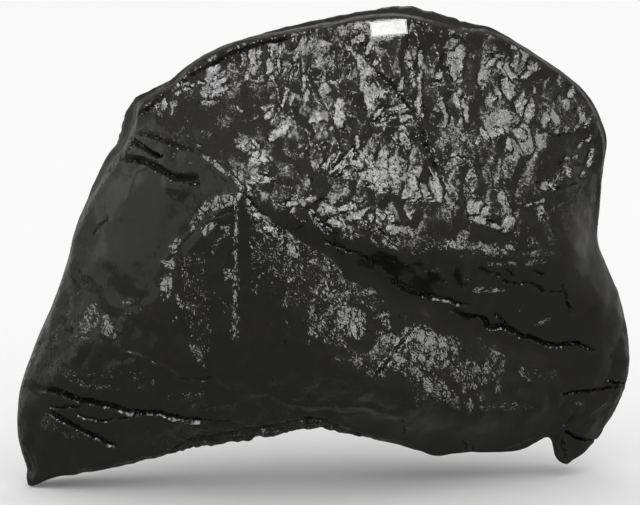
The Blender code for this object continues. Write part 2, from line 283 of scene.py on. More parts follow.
def panel(name, side, depths, crumple, finest, calm, fine, coarse, seed):
    """One side panel as a triangulated sheet."""
    t = np.linspace(0, len(RIBS) - 1, 40 * (len(RIBS) - 1) + 1)
    rise = along(FAR_RISE, t) if side > 0 else 0
    seam = evenly(np.column_stack([along(SEAM_X, t), along(SEAM_Z, t), along(SEAM_Y, t), along(CROWN, t), t]), SPACING)
    hem = evenly(np.column_stack([along(HEM_X, t), along(HEM_Z, t) + rise, t]), SPACING)
    ring = np.concatenate([seam[:, :2], hem[::-1, :2]])
    keep = np.ones(len(ring), bool)
    keep[1:] = np.linalg.norm(np.diff(ring, axis=0), axis=1) > 0.2 * SPACING
    on_seam = np.arange(len(ring)) < len(seam)
    ring, on_seam = ring[keep], on_seam[keep]

    rng = np.random.default_rng(seed)
    lo, hi = ring.min(0), ring.max(0)
    grids = []
    for spacing in (fine, coarse):
        nx = int((hi[0] - lo[0]) / spacing)
        nz = int((hi[1] - lo[1]) / (spacing * 0.866))
        i, j = np.meshgrid(np.arange(nx + 1), np.arange(nz + 1))
        grid = np.column_stack([
            (lo[0] + (i + 0.5 * (j % 2)) * spacing).ravel(),
            (lo[1] + j * spacing * 0.866).ravel(),
        ])
        grid += rng.uniform(-0.17, 0.17, grid.shape) * spacing
        plain = calm(grid[:, 0], grid[:, 1]) > 0.5
        grids.append(grid[plain if spacing == coarse else ~plain])
    inside = np.concatenate(grids)
    # Only the points inside the outline, and not too near it.
    x, z = inside.T
    odd = np.zeros(len(x), bool)
    a, b = ring, np.roll(ring, -1, axis=0)
    for (x0, z0), (x1, z1) in zip(a, b):
        if z0 == z1:
            continue
        cross = ((z0 > z) != (z1 > z)) & (x < (x1 - x0) * (z - z0) / (z1 - z0) + x0)
        odd ^= cross
    inside = inside[odd]
    d_seam, _ = to_line(inside[:, 0], inside[:, 1], seam)
    d_hem, _ = to_line(inside[:, 0], inside[:, 1], hem)
    inside = inside[(d_seam > 0.6 * SPACING) & (d_hem > 0.6 * SPACING)]
    # Where the two grids meet, no two points are nearly one.
    cell = np.unique(np.round(inside / 2.0).astype(int), axis=0, return_index=True)[1]
    inside = inside[np.sort(cell)]
    flat = np.concatenate([ring, inside])
    loop = [(k, (k + 1) % len(ring)) for k in range(len(ring))]
    out = delaunay_2d_cdt([Vector(p) for p in flat], loop, [], 1, 1e-6)
    flat = np.array([tuple(p) for p in out[0]])
    tris = np.array([f for f in out[2] if len(f) == 3])
    x, z = flat.T
    s, at = to_line(x, z, seam)
    d_hem, hem_at = to_line(x, z, hem)
    k = np.clip(at.astype(int), 0, len(seam) - 2)
    f = (at - k)[:, None]
    near_seam = seam[k] * (1 - f) + seam[k + 1] * f
    tangent = seam[k + 1, :2] - seam[k, :2]
    tangent /= np.linalg.norm(tangent, axis=1, keepdims=True)
    outward = np.column_stack([-tangent[:, 1], tangent[:, 0]])
    seam_y, crown, rib = near_seam[:, 2], np.maximum(near_seam[:, 3], 0), near_seam[:, 4]

    low = np.clip((WHEEL_HEIGHT + 60 - near_seam[:, 1]) / 120, 0, 1)
    rim = RIM_TOP + (RIM_WHEELS - RIM_TOP) * low
    rim = np.minimum(rim, 0.25 * (s + d_hem) + 1)
    rounding = rim * np.sqrt(1 - (1 - np.clip(s / rim, 0, 1)) ** 2) * np.exp(-((s / (rim * RIM_REACH)) ** 2))
    mx, mz = x.copy(), z.copy()
    lift = back = 0.0
    if side > 0:
        breadth = CROWN_BREADTH * crown + CROWN_SHOULDER * np.clip(crown / 6, 0, 1)
        shift = 0.9 * np.where(s < breadth, s, breadth + 0.15 * (s - breadth) * 0) * np.exp(-((s / 330) ** 2))
        mx, mz = x + outward[:, 0] * shift, z + outward[:, 1] * shift
        over = np.clip(s / np.maximum(2 * breadth, 1), 0, 1)
        lift = crown * np.sin(np.pi * over)
        back = breadth * (1 - np.exp(-2 * over)) * np.exp(-((s / 250) ** 2))
    y = side * (tented(depths, side)(mx, mz) + rounding + back * (s > 0.01))
    on_edge = s < 0.01
    y = np.where(on_edge, seam_y + side * SEAM_GAP / 2, y)
    mx, mz = mx + outward[:, 0] * lift, mz + outward[:, 1] * lift
    points = np.column_stack([mx, y, mz])

    # The seam is slightly puckered, and both panels follow it.
    arc = at * SPACING
    pucker = 0.9 * smooth(arc, 0 * arc, 46, 91) + 0.25 * smooth(arc, 0 * arc, 13, 92)
    sway = 1.2 * smooth(arc, 0 * arc, 61, 93) + 0.3 * smooth(arc, 0 * arc, 17, 94)
    fade = np.exp(-s / 22.0)
    points[:, 0] += outward[:, 0] * pucker * fade
    points[:, 2] += outward[:, 1] * pucker * fade
    points[:, 1] += sway * fade

    # Wind every face the same way, outwards.
    p = points[tris]
    n = np.cross(p[:, 1] - p[:, 0], p[:, 2] - p[:, 0])
    flip = np.cross(flat[tris][:, 1] - flat[tris][:, 0], flat[tris][:, 2] - flat[tris][:, 0]) * side > 0
    tris[flip] = tris[flip][:, ::-1]

    height = crumple(x, z, s, d_hem, tented(depths, side))
    height = height * ramp(s, 0, 9)
    normals = vertex_normals(points, tris)
    looks = finest(x, z, s, d_hem)
    points = points + normals * height[:, None]
    looks["lean"] = flats_lie(points, side)
    return finish_sheet(name, side, points, tris, looks, d_hem, hem_at)


def vertex_normals(points, tris):
    p = points[tris]
    n = np.cross(p[:, 1] - p[:, 0], p[:, 2] - p[:, 0])
    total = np.zeros_like(points)
    for k in range(3):
        np.add.at(total, tris[:, k], n)
    return total / np.maximum(np.linalg.norm(total, axis=1, keepdims=True), 1e-12)


def finish_sheet(name, side, points, tris, looks, d_hem, hem_at):
    """Turns the hem's edge in, and makes the mesh."""
    edge = np.flatnonzero(d_hem < 1e-3)
    edge = edge[np.argsort(hem_at[edge])]
    rows = [edge]
    start = points[edge]
    inward = np.zeros_like(start)
    inward[:, 1] = -side
    extra = []
    total = len(points)
    for back_mm, up_mm in ((1.4, -1.2), (3.4, -0.9), (4.6, 1.2), (5.0, 6.0), (5.0, 12.0)):
        room = np.minimum(1.0, np.abs(start[:, 1]) / 8.0)[:, None]
        row = start + inward * back_mm * room + np.array([0, 0, up_mm]) * room
        extra.append(row)
        rows.append(np.arange(total, total + len(edge)))
        total += len(edge)
    points = np.concatenate([points, *extra])
    more = []
    for a, b in zip(rows[:-1], rows[1:]):
        for k in range(len(edge) - 1):
            q = (a[k], a[k + 1], b[k + 1], b[k])
            if side < 0:
                q = q[::-1]
            more += [(q[0], q[1], q[2]), (q[0], q[2], q[3])]
    faces = np.concatenate([tris, np.array(more)])
    mesh = bpy.data.meshes.new(name)
    mesh.from_pydata((points * MM).tolist(), [], faces.tolist())
    mesh.update()
    mesh.shade_smooth()
    mesh.set_sharp_from_angle(angle=math.radians(13))
    for label, values in looks.items():
        values = np.concatenate([values] + 5 * [values[edge]]).astype(np.float32)
        if values.ndim == 1:
            mesh.attributes.new(label, "FLOAT", "POINT").data.foreach_set("value", values)
        else:
            mesh.attributes.new(label, "FLOAT_VECTOR", "POINT").data.foreach_set("vector", values.ravel())
    obj = bpy.data.objects.new(name, mesh)
    bpy.context.scene.collection.objects.link(obj)
    return obj


# ---------------------------------------------------------------- the lamps' places
CENTRE = np.array([-0.16, 0.0, -0.53])


def away(azimuth, elevation):
    """A direction; azimuth 0 is straight in front of the cover and positive to its right."""
    a, e = math.radians(azimuth), math.radians(elevation)
    return np.array([math.sin(a) * math.cos(e), -math.cos(a) * math.cos(e), math.sin(e)])


KEY = dict(azimuth=3, elevation=54, distance=3.0, width=1.8, height=1.6)
VIEWPOINT = np.array([-0.1831, 0, -0.5333]) * 1000 + 5000 * away(-6, 9)


def lamp_points(lamp, part):
    """Points over the middle `part` of a lamp's face, in millimetres."""
    axis = away(lamp["azimuth"], lamp["elevation"])
    across = np.cross([0, 0, 1], axis)
    across /= np.linalg.norm(across)
    up = np.cross(axis, across)
    u, v = np.meshgrid(np.linspace(-1, 1, 9), np.linspace(-1, 1, 9))
    face = CENTRE + axis * lamp["distance"]
    face = face + across * (u.ravel() * part * lamp["width"] / 2)[:, None]
    return 1000 * (face + up * (v.ravel() * part * lamp["height"] / 2)[:, None])


# ---------------------------------------------------------------- the label's place
LABEL_AT, LABEL_SIZE, LABEL_TURN = (-35.0, -28.5), (80.0, 32.0), math.radians(5.1)


def beneath_label(x, z):
    c, s = math.cos(LABEL_TURN), math.sin(LABEL_TURN)
    a = np.abs((x - LABEL_AT[0]) * c + (z - LABEL_AT[1]) * s) - LABEL_SIZE[0] / 2
    b = np.abs(-(x - LABEL_AT[0]) * s + (z - LABEL_AT[1]) * c) - LABEL_SIZE[1] / 2
    return 1 - ramp(np.maximum(a, b), 0, 12)


# ---------------------------------------------------------------- flattened facets
# Between its creases the film lies in flat facets. The large ones that face up
# towards the light are placed here; the rest come from the crinkle.
PLATES = [
    # x, z, half length, half width, angle
    (-335, -97, 25, 9.2, 94), (-350, -131, 8, 5.5, 76), (-293, -84, 13, 4.3, 87), (-275, -76, 13, 3.5, 85), (-279, -107, 14, 4.4, 95),
    (-299, -114, 15, 7.6, 88), (-292, -139, 12, 4.0, -62), (-229, -69, 20, 7.1, 52), (-241, -93, 13, 4.6, 66), (-251, -118, 13, 2.7, 64),
    (-227, -109, 17, 3.5, 90), (-227, -144, 12, 3.5, -84), (-223, -169, 9, 5.5, 75), (-186, -145, 19, 6.5, 77), (-178, -155, 10, 4.8, 96),
    (-309, -193, 13, 3.0, 4), (-310, -209, 11, 4.4, 50), (-411, -144, 15, 6.0, 24), (-422, -156, 10, 5.5, -61), (-407, -160, 17, 4.8, 15),
    (-444, -169, 10, 6.5, -55), (-419, -172, 17, 2.8, 6), (-460, -149, 20, 3.0, 13), (-489, -164, 18, 3.2, 25), (-437, -183, 19, 2.6, 1),
    (-376, -194, 14, 2.8, -37), (-531, -193, 11, 6.7, 68), (-512, -201, 14, 2.4, 60), (-403, -125, 9, 4.7, 38), (-417, -133, 9, 3.6, 38),
    (-481, -137, 15, 2.0, 47), (-285, -239, 26, 9.5, 33), (-274, -221, 13, 4.0, 31), (-345, -287, 10, 4.8, -21), (-328, -297, 11, 4.7, -15),
    (-346, -306, 11, 3.0, 7), (-340, -339, 22, 3.3, 2), (-333, -329, 11, 3.2, -21), (-367, -267, 13, 2.8, 25), (-341, -266, 8, 4.1, -34),
    (-91, -29, 17, 9.2, -25), (-101, -52, 16, 10.5, 19), (-80, -72, 14, 6.8, 64), (-118, -80, 19, 3.3, -43), (-106, -101, 12, 5.3, -78),
    (-95, -97, 23, 2.9, -49), (-90, -122, 13, 9.5, 28), (-67, -103, 7, 4.6, 28), (-91, -172, 29, 10.3, -75), (-77, -162, 15, 6.6, 86),
    (-58, -169, 15, 4.3, 60), (-14, -152, 18, 5.7, 70), (31, -102, 21, 5.9, 90), (30, -157, 23, 2.7, 90), (30, -200, 21, 2.7, 88),
    (10, -115, 19, 3.6, -63), (15, -147, 9, 4.0, 76), (114, -89, 28, 12.8, 26), (120, -112, 15, 7.3, 75), (107, -125, 19, 6.4, -85),
    (75, -133, 10, 5.3, 66), (116, -28, 16, 6.8, -38), (146, -37, 14, 6.5, 8), (-154, -188, 13, 6.5, 70), (-154, -217, 16, 9.7, -83),
    (-204, -214, 15, 11.2, -1), (-69, -210, 15, 4.2, 50), (-26, -198, 18, 5.4, 10), (-10, -220, 11, 7.1, 36), (-48, -219, 18, 4.1, 8),
    (79, -207, 23, 5.9, -75), (126, -205, 21, 6.9, -78), (177, -126, 20, 12.7, 66), (197, -105, 14, 6.6, 44), (217, -91, 17, 4.7, 0),
    (220, -121, 17, 7.6, -61), (233, -104, 11, 6.1, 74), (252, -107, 12, 7.1, 43), (271, -90, 15, 9.0, -48), (250, -74, 18, 6.7, -55),
    (292, -119, 12, 7.0, -11), (273, -137, 19, 5.5, 23), (240, -132, 17, 6.1, -45), (230, -162, 23, 15.7, -64), (203, -171, 13, 7.0, -62),
    (186, -182, 13, 6.3, -1), (212, -226, 41, 16.0, -5), (221, -248, 19, 9.2, 7), (291, -168, 8, 4.3, 83), (276, -214, 19, 12.6, 78),
    (313, -228, 21, 9.5, 57), (335, -228, 19, 7.8, -56), (388, -219, 43, 22.2, -22), (367, -201, 30, 9.7, -12), (405, -237, 22, 14.1, -39),
    (344, -258, 33, 5.5, 6), (398, -250, 29, 5.3, 13), (259, -272, 27, 15.5, -78), (246, -257, 15, 11.2, -40), (296, -271, 17, 13.3, -84),
    (221, -281, 12, 7.0, -84), (170, -259, 15, 5.9, -64), (195, -255, 14, 7.5, 17), (407, -287, 23, 4.7, 23), (423, -322, 17, 11.6, 66),
    (401, -357, 9, 6.9, 47), (369, -316, 22, 3.2, 1), (360, -331, 21, 6.7, 15), (361, -348, 20, 10.5, -39), (329, -364, 16, 6.7, 51),
    (299, -368, 17, 10.6, -3), (316, -372, 13, 4.7, -60), (462, -279, 12, 7.1, -13), (286, -421, 21, 7.2, -49), (272, -405, 21, 3.0, 9),
    (200, -397, 23, 9.5, -61), (207, -445, 18, 13.6, 55), (147, -434, 25, 7.9, -13), (176, -448, 18, 5.6, -30), (133, -409, 16, 11.1, 16),
    (153, -418, 11, 6.6, 54), (-62, -299, 17, 12.7, -2), (-42, -322, 23, 12.5, 80), (-91, -335, 29, 12.2, -2), (-69, -358, 35, 3.2, 0),
    (-65, -366, 31, 2.8, -9), (-153, -303, 32, 3.9, 45), (-145, -309, 26, 3.3, 47), (-188, -308, 19, 5.5, 43), (-125, -310, 17, 7.1, -20),
    (-102, -300, 19, 3.5, -48), (-120, -269, 11, 4.8, 86), (-13, -269, 19, 8.1, -63), (-35, -265, 9, 4.0, -61), (-3, -350, 24, 9.5, -86),
    (-7, -376, 20, 10.9, -2), (4, -368, 14, 7.6, -61), (54, -366, 20, 9.4, -77), (24, -373, 16, 7.6, -64), (29, -391, 36, 3.2, -2),
    (43, -333, 15, 3.3, -61), (70, -356, 18, 2.5, -70), (126, -272, 17, 4.2, -35), (150, -273, 9, 2.5, 17), (103, -305, 11, 3.9, -30),
    (120, -310, 8, 4.0, -40), (-187, -416, 38, 12.0, -57), (-204, -407, 17, 6.4, -60), (-152, -398, 14, 6.5, 23), (-118, -413, 24, 12.2, 22),
    (-95, -420, 11, 7.0, -11), (-80, -434, 17, 6.5, -59), (-73, -420, 8, 6.4, 56), (-52, -446, 17, 12.7, -35), (-228, -379, 12, 6.1, 6),
    (-253, -384, 15, 7.4, -22), (-272, -385, 13, 6.5, -3), (-220, -413, 18, 3.6, -58), (-198, -438, 18, 3.5, -36), (-350, -394, 30, 4.6, -53),
    (-335, -418, 26, 7.6, -48), (-318, -438, 24, 9.3, -43),
]

# Where the film is finely crushed, how much.
CRUSHED = [
    # x, z, half length, half width, angle, amount
    (129, -320, 104, 83, -2, 0.8),
    (-279, -511, 102, 51, -51, 1),
    (-176, -625, 103, 59, -41, 1),
    (42, -754, 146, 63, -30, 1),
    (-466, -661, 117, 26, -76, 0.6),
    (-387, -594, 203, 15, 90, 0.7),
    (-648, -785, 133, 28, -4, 0.9),
    (-482, -818, 75, 20, -14, 0.9),
    (-410, -847, 88, 15, -10, 0.8),
    (-577, -946, 111, 35, 11, 1),
    (-364, -915, 137, 13, 4, 0.9),
    (-119, -97, 88, 76, 0, 0.8),
    (-294, -101, 78, 67, 0, 0.8),
    (-54, -206, 94, 62, -1, 0.6),
    (-139, -327, 133, 61, -2, 0.8),
    (-204, -414, 130, 51, -12, 0.8),
    (-33, -461, 93, 47, -21, 0.8),
    (290, -199, 147, 101, -20, 0.6),
    (240, -439, 127, 72, -4, 0.6),
    (383, -366, 64, 104, -7, 0.6),
    (146, -509, 166, 29, -3, 0.8),
    (-696, -670, 84, 40, 8, 0.7),
    (-720, -541, 38, 62, -11, 0.8),
    (-442, -161, 83, 36, 20, 0.8),
    (-418, -220, 90, 83, 1, 0.35),
    (-331, -308, 47, 43, -2, 0.7),
    (-792, -898, 36, 27, 9, 0.9),
    (130, -850, 143, 28, -6, 0.6),
    (-185, -788, 130, 26, -11, 0.6),
    (-303, -778, 134, 53, -22, 0.35),
]

# Where the crinkle is pressed into facets that lie up towards the light.
PRESSED = [
    # how much of the place, the way its streaks run, outline
    (0.8, -30, [(171, -215), (214, -205), (243, -215), (248, -236), (221, -256), (197, -260), (173, -244)]),
    (0.62, -61, [(202, -258), (246, -263), (288, -256), (313, -274), (292, -296), (249, -307), (221, -281)]),
    (0.72, 25, [(295, -197), (351, -181), (406, -196), (448, -227), (430, -252), (367, -258), (320, -251), (296, -231)]),
    (0.4, -30, [(212, -151), (257, -154), (287, -180), (252, -196), (216, -178)]),
    (0.55, 25, [(157, -115), (186, -94), (231, -104), (273, -88), (307, -117), (290, -140), (242, -132), (199, -135), (168, -145)]),
    (0.82, 55, [(92, -82), (115, -78), (148, -66), (130, -100), (108, -146), (100, -125), (97, -103)]),
    (0.55, -45, [(116, -17), (139, -35), (149, -61), (130, -57), (115, -41)]),
    (0.3, 8, [(57, -34), (104, -32), (115, -41), (80, -49)]),
    (0.35, 16, [(194, -79), (229, -93), (216, -106), (181, -101)]),
    (0.45, 24, [(237, -181), (278, -197), (298, -231), (261, -247), (240, -225)]),
    (0.7, 28, [(370, -299), (398, -293), (426, -287), (443, -300), (423, -322), (382, -329), (367, -346), (343, -340)]),
    (0.7, 51, [(316, -361), (328, -343), (356, -313), (366, -323), (337, -352), (317, -384), (308, -384)]),
    (0.4, -48, [(330, -317), (379, -335), (386, -362), (345, -357)]),
    (0.6, 49, [(402, -335), (428, -327), (423, -354), (404, -360)]),
    (0.7, 42, [(358, -397), (385, -375), (401, -370), (382, -405), (361, -433), (347, -431)]),
    (0.75, 68, [(329, -416), (350, -407), (367, -420), (367, -447), (354, -466), (355, -492), (347, -491), (341, -458), (328, -433)]),
    (0.45, 29, [(389, -375), (410, -379), (404, -400), (391, -393)]),
    (0.85, -75, [(268, -405), (285, -403), (303, -430), (312, -466), (324, -488), (321, -501), (304, -497), (292, -464), (285, -438), (272, -420)]),
    (0.7, -21, [(278, -397), (297, -396), (294, -408), (279, -409)]),
    (0.55, 64, [(309, -401), (322, -402), (318, -427), (311, -427)]),
    (0.5, -49, [(312, -457), (338, -468), (347, -502), (327, -489)]),
    (0.85, -61, [(190, -378), (204, -374), (211, -402), (219, -421), (208, -422), (193, -401)]),
    (0.75, 40, [(188, -449), (203, -433), (219, -433), (216, -450), (197, -462), (185, -455)]),
    (0.6, -81, [(213, -450), (222, -455), (233, -498), (226, -498)]),
    (0.7, 55, [(257, -467), (269, -471), (281, -498), (257, -500), (245, -499)]),
    (0.6, 77, [(246, -452), (258, -453), (255, -469), (248, -469)]),
    (0.55, -4, [(289, -370), (309, -358), (310, -382), (288, -378)]),
    (0.5, -3, [(281, -353), (302, -354), (304, -358), (282, -361)]),
    (0.75, -16, [(109, -429), (134, -425), (170, -437), (188, -459), (163, -452), (133, -440)]),
    (0.6, -30, [(116, -392), (143, -391), (144, -420), (116, -423)]),
    (0.75, 16, [(82, -403), (91, -397), (100, -400), (97, -408), (84, -407)]),
    (0.55, -30, [(144, -409), (166, -421), (161, -429), (146, -422)]),
    (0.45, 12, [(48, -404), (78, -397), (81, -411), (54, -412)]),
    (0.45, -40, [(172, -408), (190, -415), (187, -430), (171, -423)]),
    (0.45, 8, [(35, -381), (70, -386), (71, -395), (34, -394)]),
    (0.75, -26, [(69, -482), (89, -467), (118, -483), (141, -482), (182, -489), (208, -510), (176, -511), (141, -498), (107, -493), (73, -492)]),
    (0.35, -13, [(118, -496), (199, -514), (188, -520), (123, -507)]),
    (0.8, -22, [(201, -490), (219, -491), (224, -502), (205, -501)]),
    (0.8, -22, [(211, -523), (230, -538), (216, -538), (204, -528)]),
    (0.6, -8, [(154, -528), (204, -528), (207, -539), (159, -537)]),
    (0.75, 15, [(246, -530), (302, -524), (300, -537), (263, -541), (249, -537)]),
    (0.5, 4, [(233, -509), (301, -504), (332, -518), (327, -524), (238, -518)]),
    (0.5, -7, [(319, -514), (363, -517), (358, -528), (322, -528)]),
    (0.8, -23, [(102, -553), (123, -559), (119, -566), (103, -561)]),
    (0.25, -2, [(29, -463), (65, -477), (63, -499), (30, -494)]),
    (0.45, -68, [(284, -504), (301, -504), (307, -522), (289, -520)]),
    (0.3, -75, [(47, -522), (85, -578), (80, -591), (47, -546)]),
    (0.8, -72, [(28, -81), (35, -81), (42, -111), (35, -124), (27, -183), (28, -220), (22, -220), (21, -162)]),
    (0.5, -61, [(-7, -65), (2, -68), (14, -98), (21, -132), (12, -132), (-2, -97)]),
    (0.8, 87, [(-16, -112), (-12, -112), (-13, -136), (-20, -136)]),
    (0.75, 66, [(-20, -144), (-9, -140), (-10, -157), (-22, -165)]),
    (0.6, 76, [(11, -140), (18, -140), (17, -157), (8, -157)]),
    (0.82, -67, [(-101, -147), (-76, -147), (-75, -164), (-74, -181), (-82, -197), (-89, -206), (-96, -181)]),
    (0.55, -40, [(-76, -147), (-52, -156), (-54, -181), (-72, -177)]),
    (0.45, -30, [(-56, -148), (-35, -161), (-38, -173), (-53, -169)]),
    (0.6, 65, [(-78, -208), (-62, -196), (-60, -210), (-72, -222)]),
    (0.75, 0, [(-114, -55), (-107, -44), (-91, -42), (-83, -55), (-99, -59)]),
    (0.8, 57, [(-86, -63), (-73, -59), (-71, -72), (-85, -76)]),
    (0.7, -41, [(-130, -63), (-117, -69), (-76, -110), (-68, -131), (-83, -122), (-118, -80)]),
    (0.85, -83, [(-112, -90), (-101, -93), (-100, -112), (-109, -109)]),
    (0.85, 37, [(-97, -124), (-87, -114), (-79, -126), (-82, -131), (-95, -133)]),
    (0.85, 0, [(-71, -105), (-60, -101), (-60, -108), (-69, -110)]),
    (0.4, -30, [(-142, -16), (-83, -16), (-80, -40), (-120, -37), (-143, -55)]),
    (0.6, 0, [(-101, -16), (-79, -25), (-80, -40), (-98, -40)]),
    (0.85, -72, [(-158, -180), (-147, -182), (-146, -196), (-155, -198)]),
    (0.85, -72, [(-168, -200), (-150, -196), (-141, -217), (-151, -233), (-164, -231)]),
    (0.7, 8, [(-47, -202), (-24, -196), (-10, -195), (-15, -203), (-38, -209)]),
    (0.45, -30, [(-42, -206), (6, -216), (14, -228), (-13, -232)]),
    (0.7, -51, [(-18, -215), (-3, -220), (-4, -228), (-17, -226)]),
    (0.6, -1, [(-111, -228), (-84, -226), (-44, -233), (-11, -236), (-13, -240), (-78, -235)]),
    (0.75, -61, [(-23, -250), (-10, -257), (-3, -278), (-12, -282), (-22, -267)]),
    (0.75, 86, [(-124, -256), (-115, -255), (-114, -275), (-123, -275)]),
    (0.7, -61, [(-40, -262), (-29, -269), (-34, -273)]),
    (0.7, 55, [(-84, -259), (-79, -259), (-87, -274), (-91, -272)]),
    (0.6, 40, [(-109, -267), (-100, -261), (-105, -273)]),
    (0.6, 55, [(26, -256), (43, -264), (29, -274)]),
    (0.75, -62, [(72, -179), (82, -192), (89, -224), (77, -226), (72, -204)]),
    (0.75, -1, [(66, -124), (82, -124), (81, -139), (68, -139)]),
    (0.5, 8, [(51, -149), (74, -143), (115, -148), (110, -155), (55, -154)]),
    (0.45, -83, [(108, -154), (118, -163), (111, -201), (105, -184)]),
    (0.4, 18, [(-235, -128), (-209, -136), (-148, -134), (-122, -137), (-122, -141), (-197, -142), (-233, -136)]),
    (0.35, 28, [(-209, -67), (-185, -97), (-166, -82), (-165, -93), (-199, -113)]),
    (0.6, 56, [(-175, -118), (-165, -101), (-161, -105), (-171, -118)]),
    (0.75, -89, [(-231, -132), (-224, -132), (-216, -167), (-226, -179), (-230, -155)]),
    (0.75, 81, [(-192, -134), (-181, -130), (-178, -159), (-192, -165)]),
    (0.75, 75, [(-184, -149), (-173, -151), (-172, -163), (-183, -161)]),
    (0.3, -1, [(-225, -200), (-201, -200), (-203, -224), (-220, -226)]),
    (0.7, 55, [(-212, -261), (-199, -241), (-193, -237), (-199, -263)]),
    (0.6, 86, [(-188, -261), (-181, -261), (-182, -278), (-188, -273)]),
    (0.6, -2, [(-204, -273), (-188, -273), (-193, -283), (-202, -281)]),
    (0.6, 27, [(-181, -233), (-166, -229), (-171, -243), (-182, -241)]),
    (0.35, -40, [(-160, -235), (-138, -242), (-132, -283), (-154, -278)]),
    (0.75, 40, [(-207, -317), (-179, -298), (-172, -298), (-191, -320)]),
    (0.7, 41, [(-176, -323), (-160, -309), (-136, -283), (-130, -295), (-161, -323)]),
    (0.5, -35, [(-130, -283), (-103, -279), (-82, -300), (-94, -316), (-124, -303)]),
    (0.72, -20, [(-113, -336), (-89, -304), (-62, -301), (-31, -298), (-7, -307), (-14, -339), (-31, -367), (-69, -362), (-93, -357)]),
    (0.45, -11, [(-93, -357), (-27, -367), (-30, -379), (-87, -371)]),
    (0.6, 8, [(-159, -323), (-125, -318), (-113, -336), (-132, -348), (-155, -339)]),
    (0.85, -78, [(-17, -327), (0, -340), (11, -369), (7, -387), (-19, -384), (-24, -359)]),
    (0.85, -73, [(42, -345), (58, -366), (65, -386), (43, -386), (40, -365)]),
    (0.8, -62, [(68, -346), (76, -358), (75, -370), (69, -362)]),
    (0.3, -1, [(0, -241), (15, -287), (3, -328), (-8, -286)]),
    (0.24, 8, [(68, -225), (136, -222), (199, -291), (207, -343), (147, -372), (81, -350), (59, -288)]),
    (0.22, -2, [(91, -371), (194, -353), (226, -386), (186, -405), (101, -391)]),
    (0.2, 15, [(208, -323), (303, -316), (337, -350), (286, -374), (222, -358)]),
    (0.55, -40, [(-213, -388), (-186, -383), (-165, -404), (-154, -437), (-158, -454), (-179, -429), (-204, -407)]),
    (0.55, -3, [(-245, -372), (-216, -367), (-217, -381), (-244, -386)]),
    (0.4, -3, [(-278, -368), (-252, -363), (-248, -380), (-274, -382)]),
    (0.6, -51, [(-235, -401), (-218, -415), (-186, -456), (-195, -461), (-227, -427)]),
    (0.6, 27, [(-169, -396), (-143, -386), (-117, -395), (-127, -413), (-153, -408)]),
    (0.5, -40, [(-140, -408), (-97, -430), (-37, -460), (7, -479), (3, -492), (-55, -477), (-120, -442)]),
    (0.65, -30, [(-89, -397), (-53, -415), (-41, -440), (-62, -435), (-88, -414)]),
    (0.7, -31, [(-45, -431), (-10, -445), (16, -471), (-15, -470), (-41, -452)]),
    (0.45, -22, [(-317, -364), (-292, -382), (-275, -407), (-297, -402), (-322, -376)]),
    (0.4, -22, [(-286, -407), (-258, -412), (-240, -426), (-262, -425)]),
    (0.85, 87, [(-342, -76), (-331, -76), (-328, -101), (-334, -126), (-340, -110)]),
    (0.5, 19, [(-331, -81), (-307, -74), (-314, -85), (-328, -91)]),
    (0.7, 87, [(-296, -76), (-288, -76), (-287, -97), (-296, -101)]),
    (0.6, 86, [(-278, -63), (-267, -63), (-274, -97), (-278, -122), (-284, -118)]),
    (0.5, 86, [(-307, -101), (-289, -101), (-291, -122), (-303, -118)]),
    (0.5, -62, [(-304, -122), (-291, -134), (-290, -147), (-301, -143)]),
    (0.7, 86, [(-348, -102), (-342, -106), (-343, -135), (-352, -133)]),
    (0.7, 57, [(-230, -63), (-214, -42), (-220, -76), (-238, -86), (-242, -101), (-247, -88)]),
    (0.45, 76, [(-228, -97), (-215, -101), (-221, -122), (-230, -122)]),
    (0.6, 67, [(-244, -101), (-238, -105), (-264, -175), (-308, -231), (-312, -227), (-273, -175)]),
    (0.55, 2, [(-482, -150), (-452, -142), (-458, -153), (-478, -156)]),
    (0.6, 16, [(-518, -181), (-482, -162), (-459, -157), (-483, -166), (-514, -183)]),
    (0.7, -18, [(-436, -140), (-417, -135), (-405, -152), (-397, -164), (-423, -174), (-449, -171), (-448, -157), (-435, -160)]),
    (0.85, 1, [(-462, -183), (-407, -182), (-407, -188), (-458, -189)]),
    (0.75, -34, [(-390, -186), (-379, -188), (-365, -199), (-370, -203)]),
    (0.75, 77, [(-540, -192), (-529, -183), (-527, -197), (-538, -206)]),
    (0.85, -17, [(-555, -204), (-540, -204), (-543, -214), (-554, -212)]),
    (0.7, 56, [(-517, -197), (-505, -183), (-501, -189), (-515, -207)]),
    (0.75, 5, [(-324, -191), (-300, -187), (-300, -193), (-322, -197)]),
    (0.65, 54, [(-314, -201), (-305, -201), (-311, -217), (-317, -213)]),
    (0.85, 31, [(-311, -243), (-286, -229), (-261, -216), (-264, -229), (-274, -247), (-290, -249)]),
    (0.8, 35, [(-311, -249), (-298, -243), (-301, -255), (-312, -258)]),
    (0.4, 0, [(-284, -203), (-262, -199), (-265, -217), (-283, -219)]),
    (0.65, -24, [(-355, -285), (-338, -279), (-318, -297), (-327, -306), (-353, -302)]),
    (0.7, 17, [(-380, -275), (-364, -264), (-352, -269), (-337, -273), (-344, -277), (-367, -275)]),
    (0.6, 2, [(-359, -326), (-324, -328), (-301, -333), (-327, -343), (-349, -344)]),
    (0.55, 57, [(-423, -131), (-403, -115), (-394, -119), (-403, -129), (-421, -140)]),
    (0.45, 67, [(-394, -110), (-382, -98), (-376, -110), (-390, -119)]),
    (0.3, 55, [(-421, -204), (-401, -215), (-411, -243), (-423, -235)]),
    (0.35, -2, [(-279, -279), (-237, -280), (-236, -296), (-252, -299), (-278, -290)]),
    (0.85, 32, [(-467, -398), (-451, -380), (-432, -370), (-402, -365), (-375, -355), (-382, -370), (-410, -389), (-447, -407), (-472, -424)]),
    (0.7, 65, [(-485, -433), (-478, -418), (-463, -411), (-455, -420), (-472, -441), (-485, -454)]),
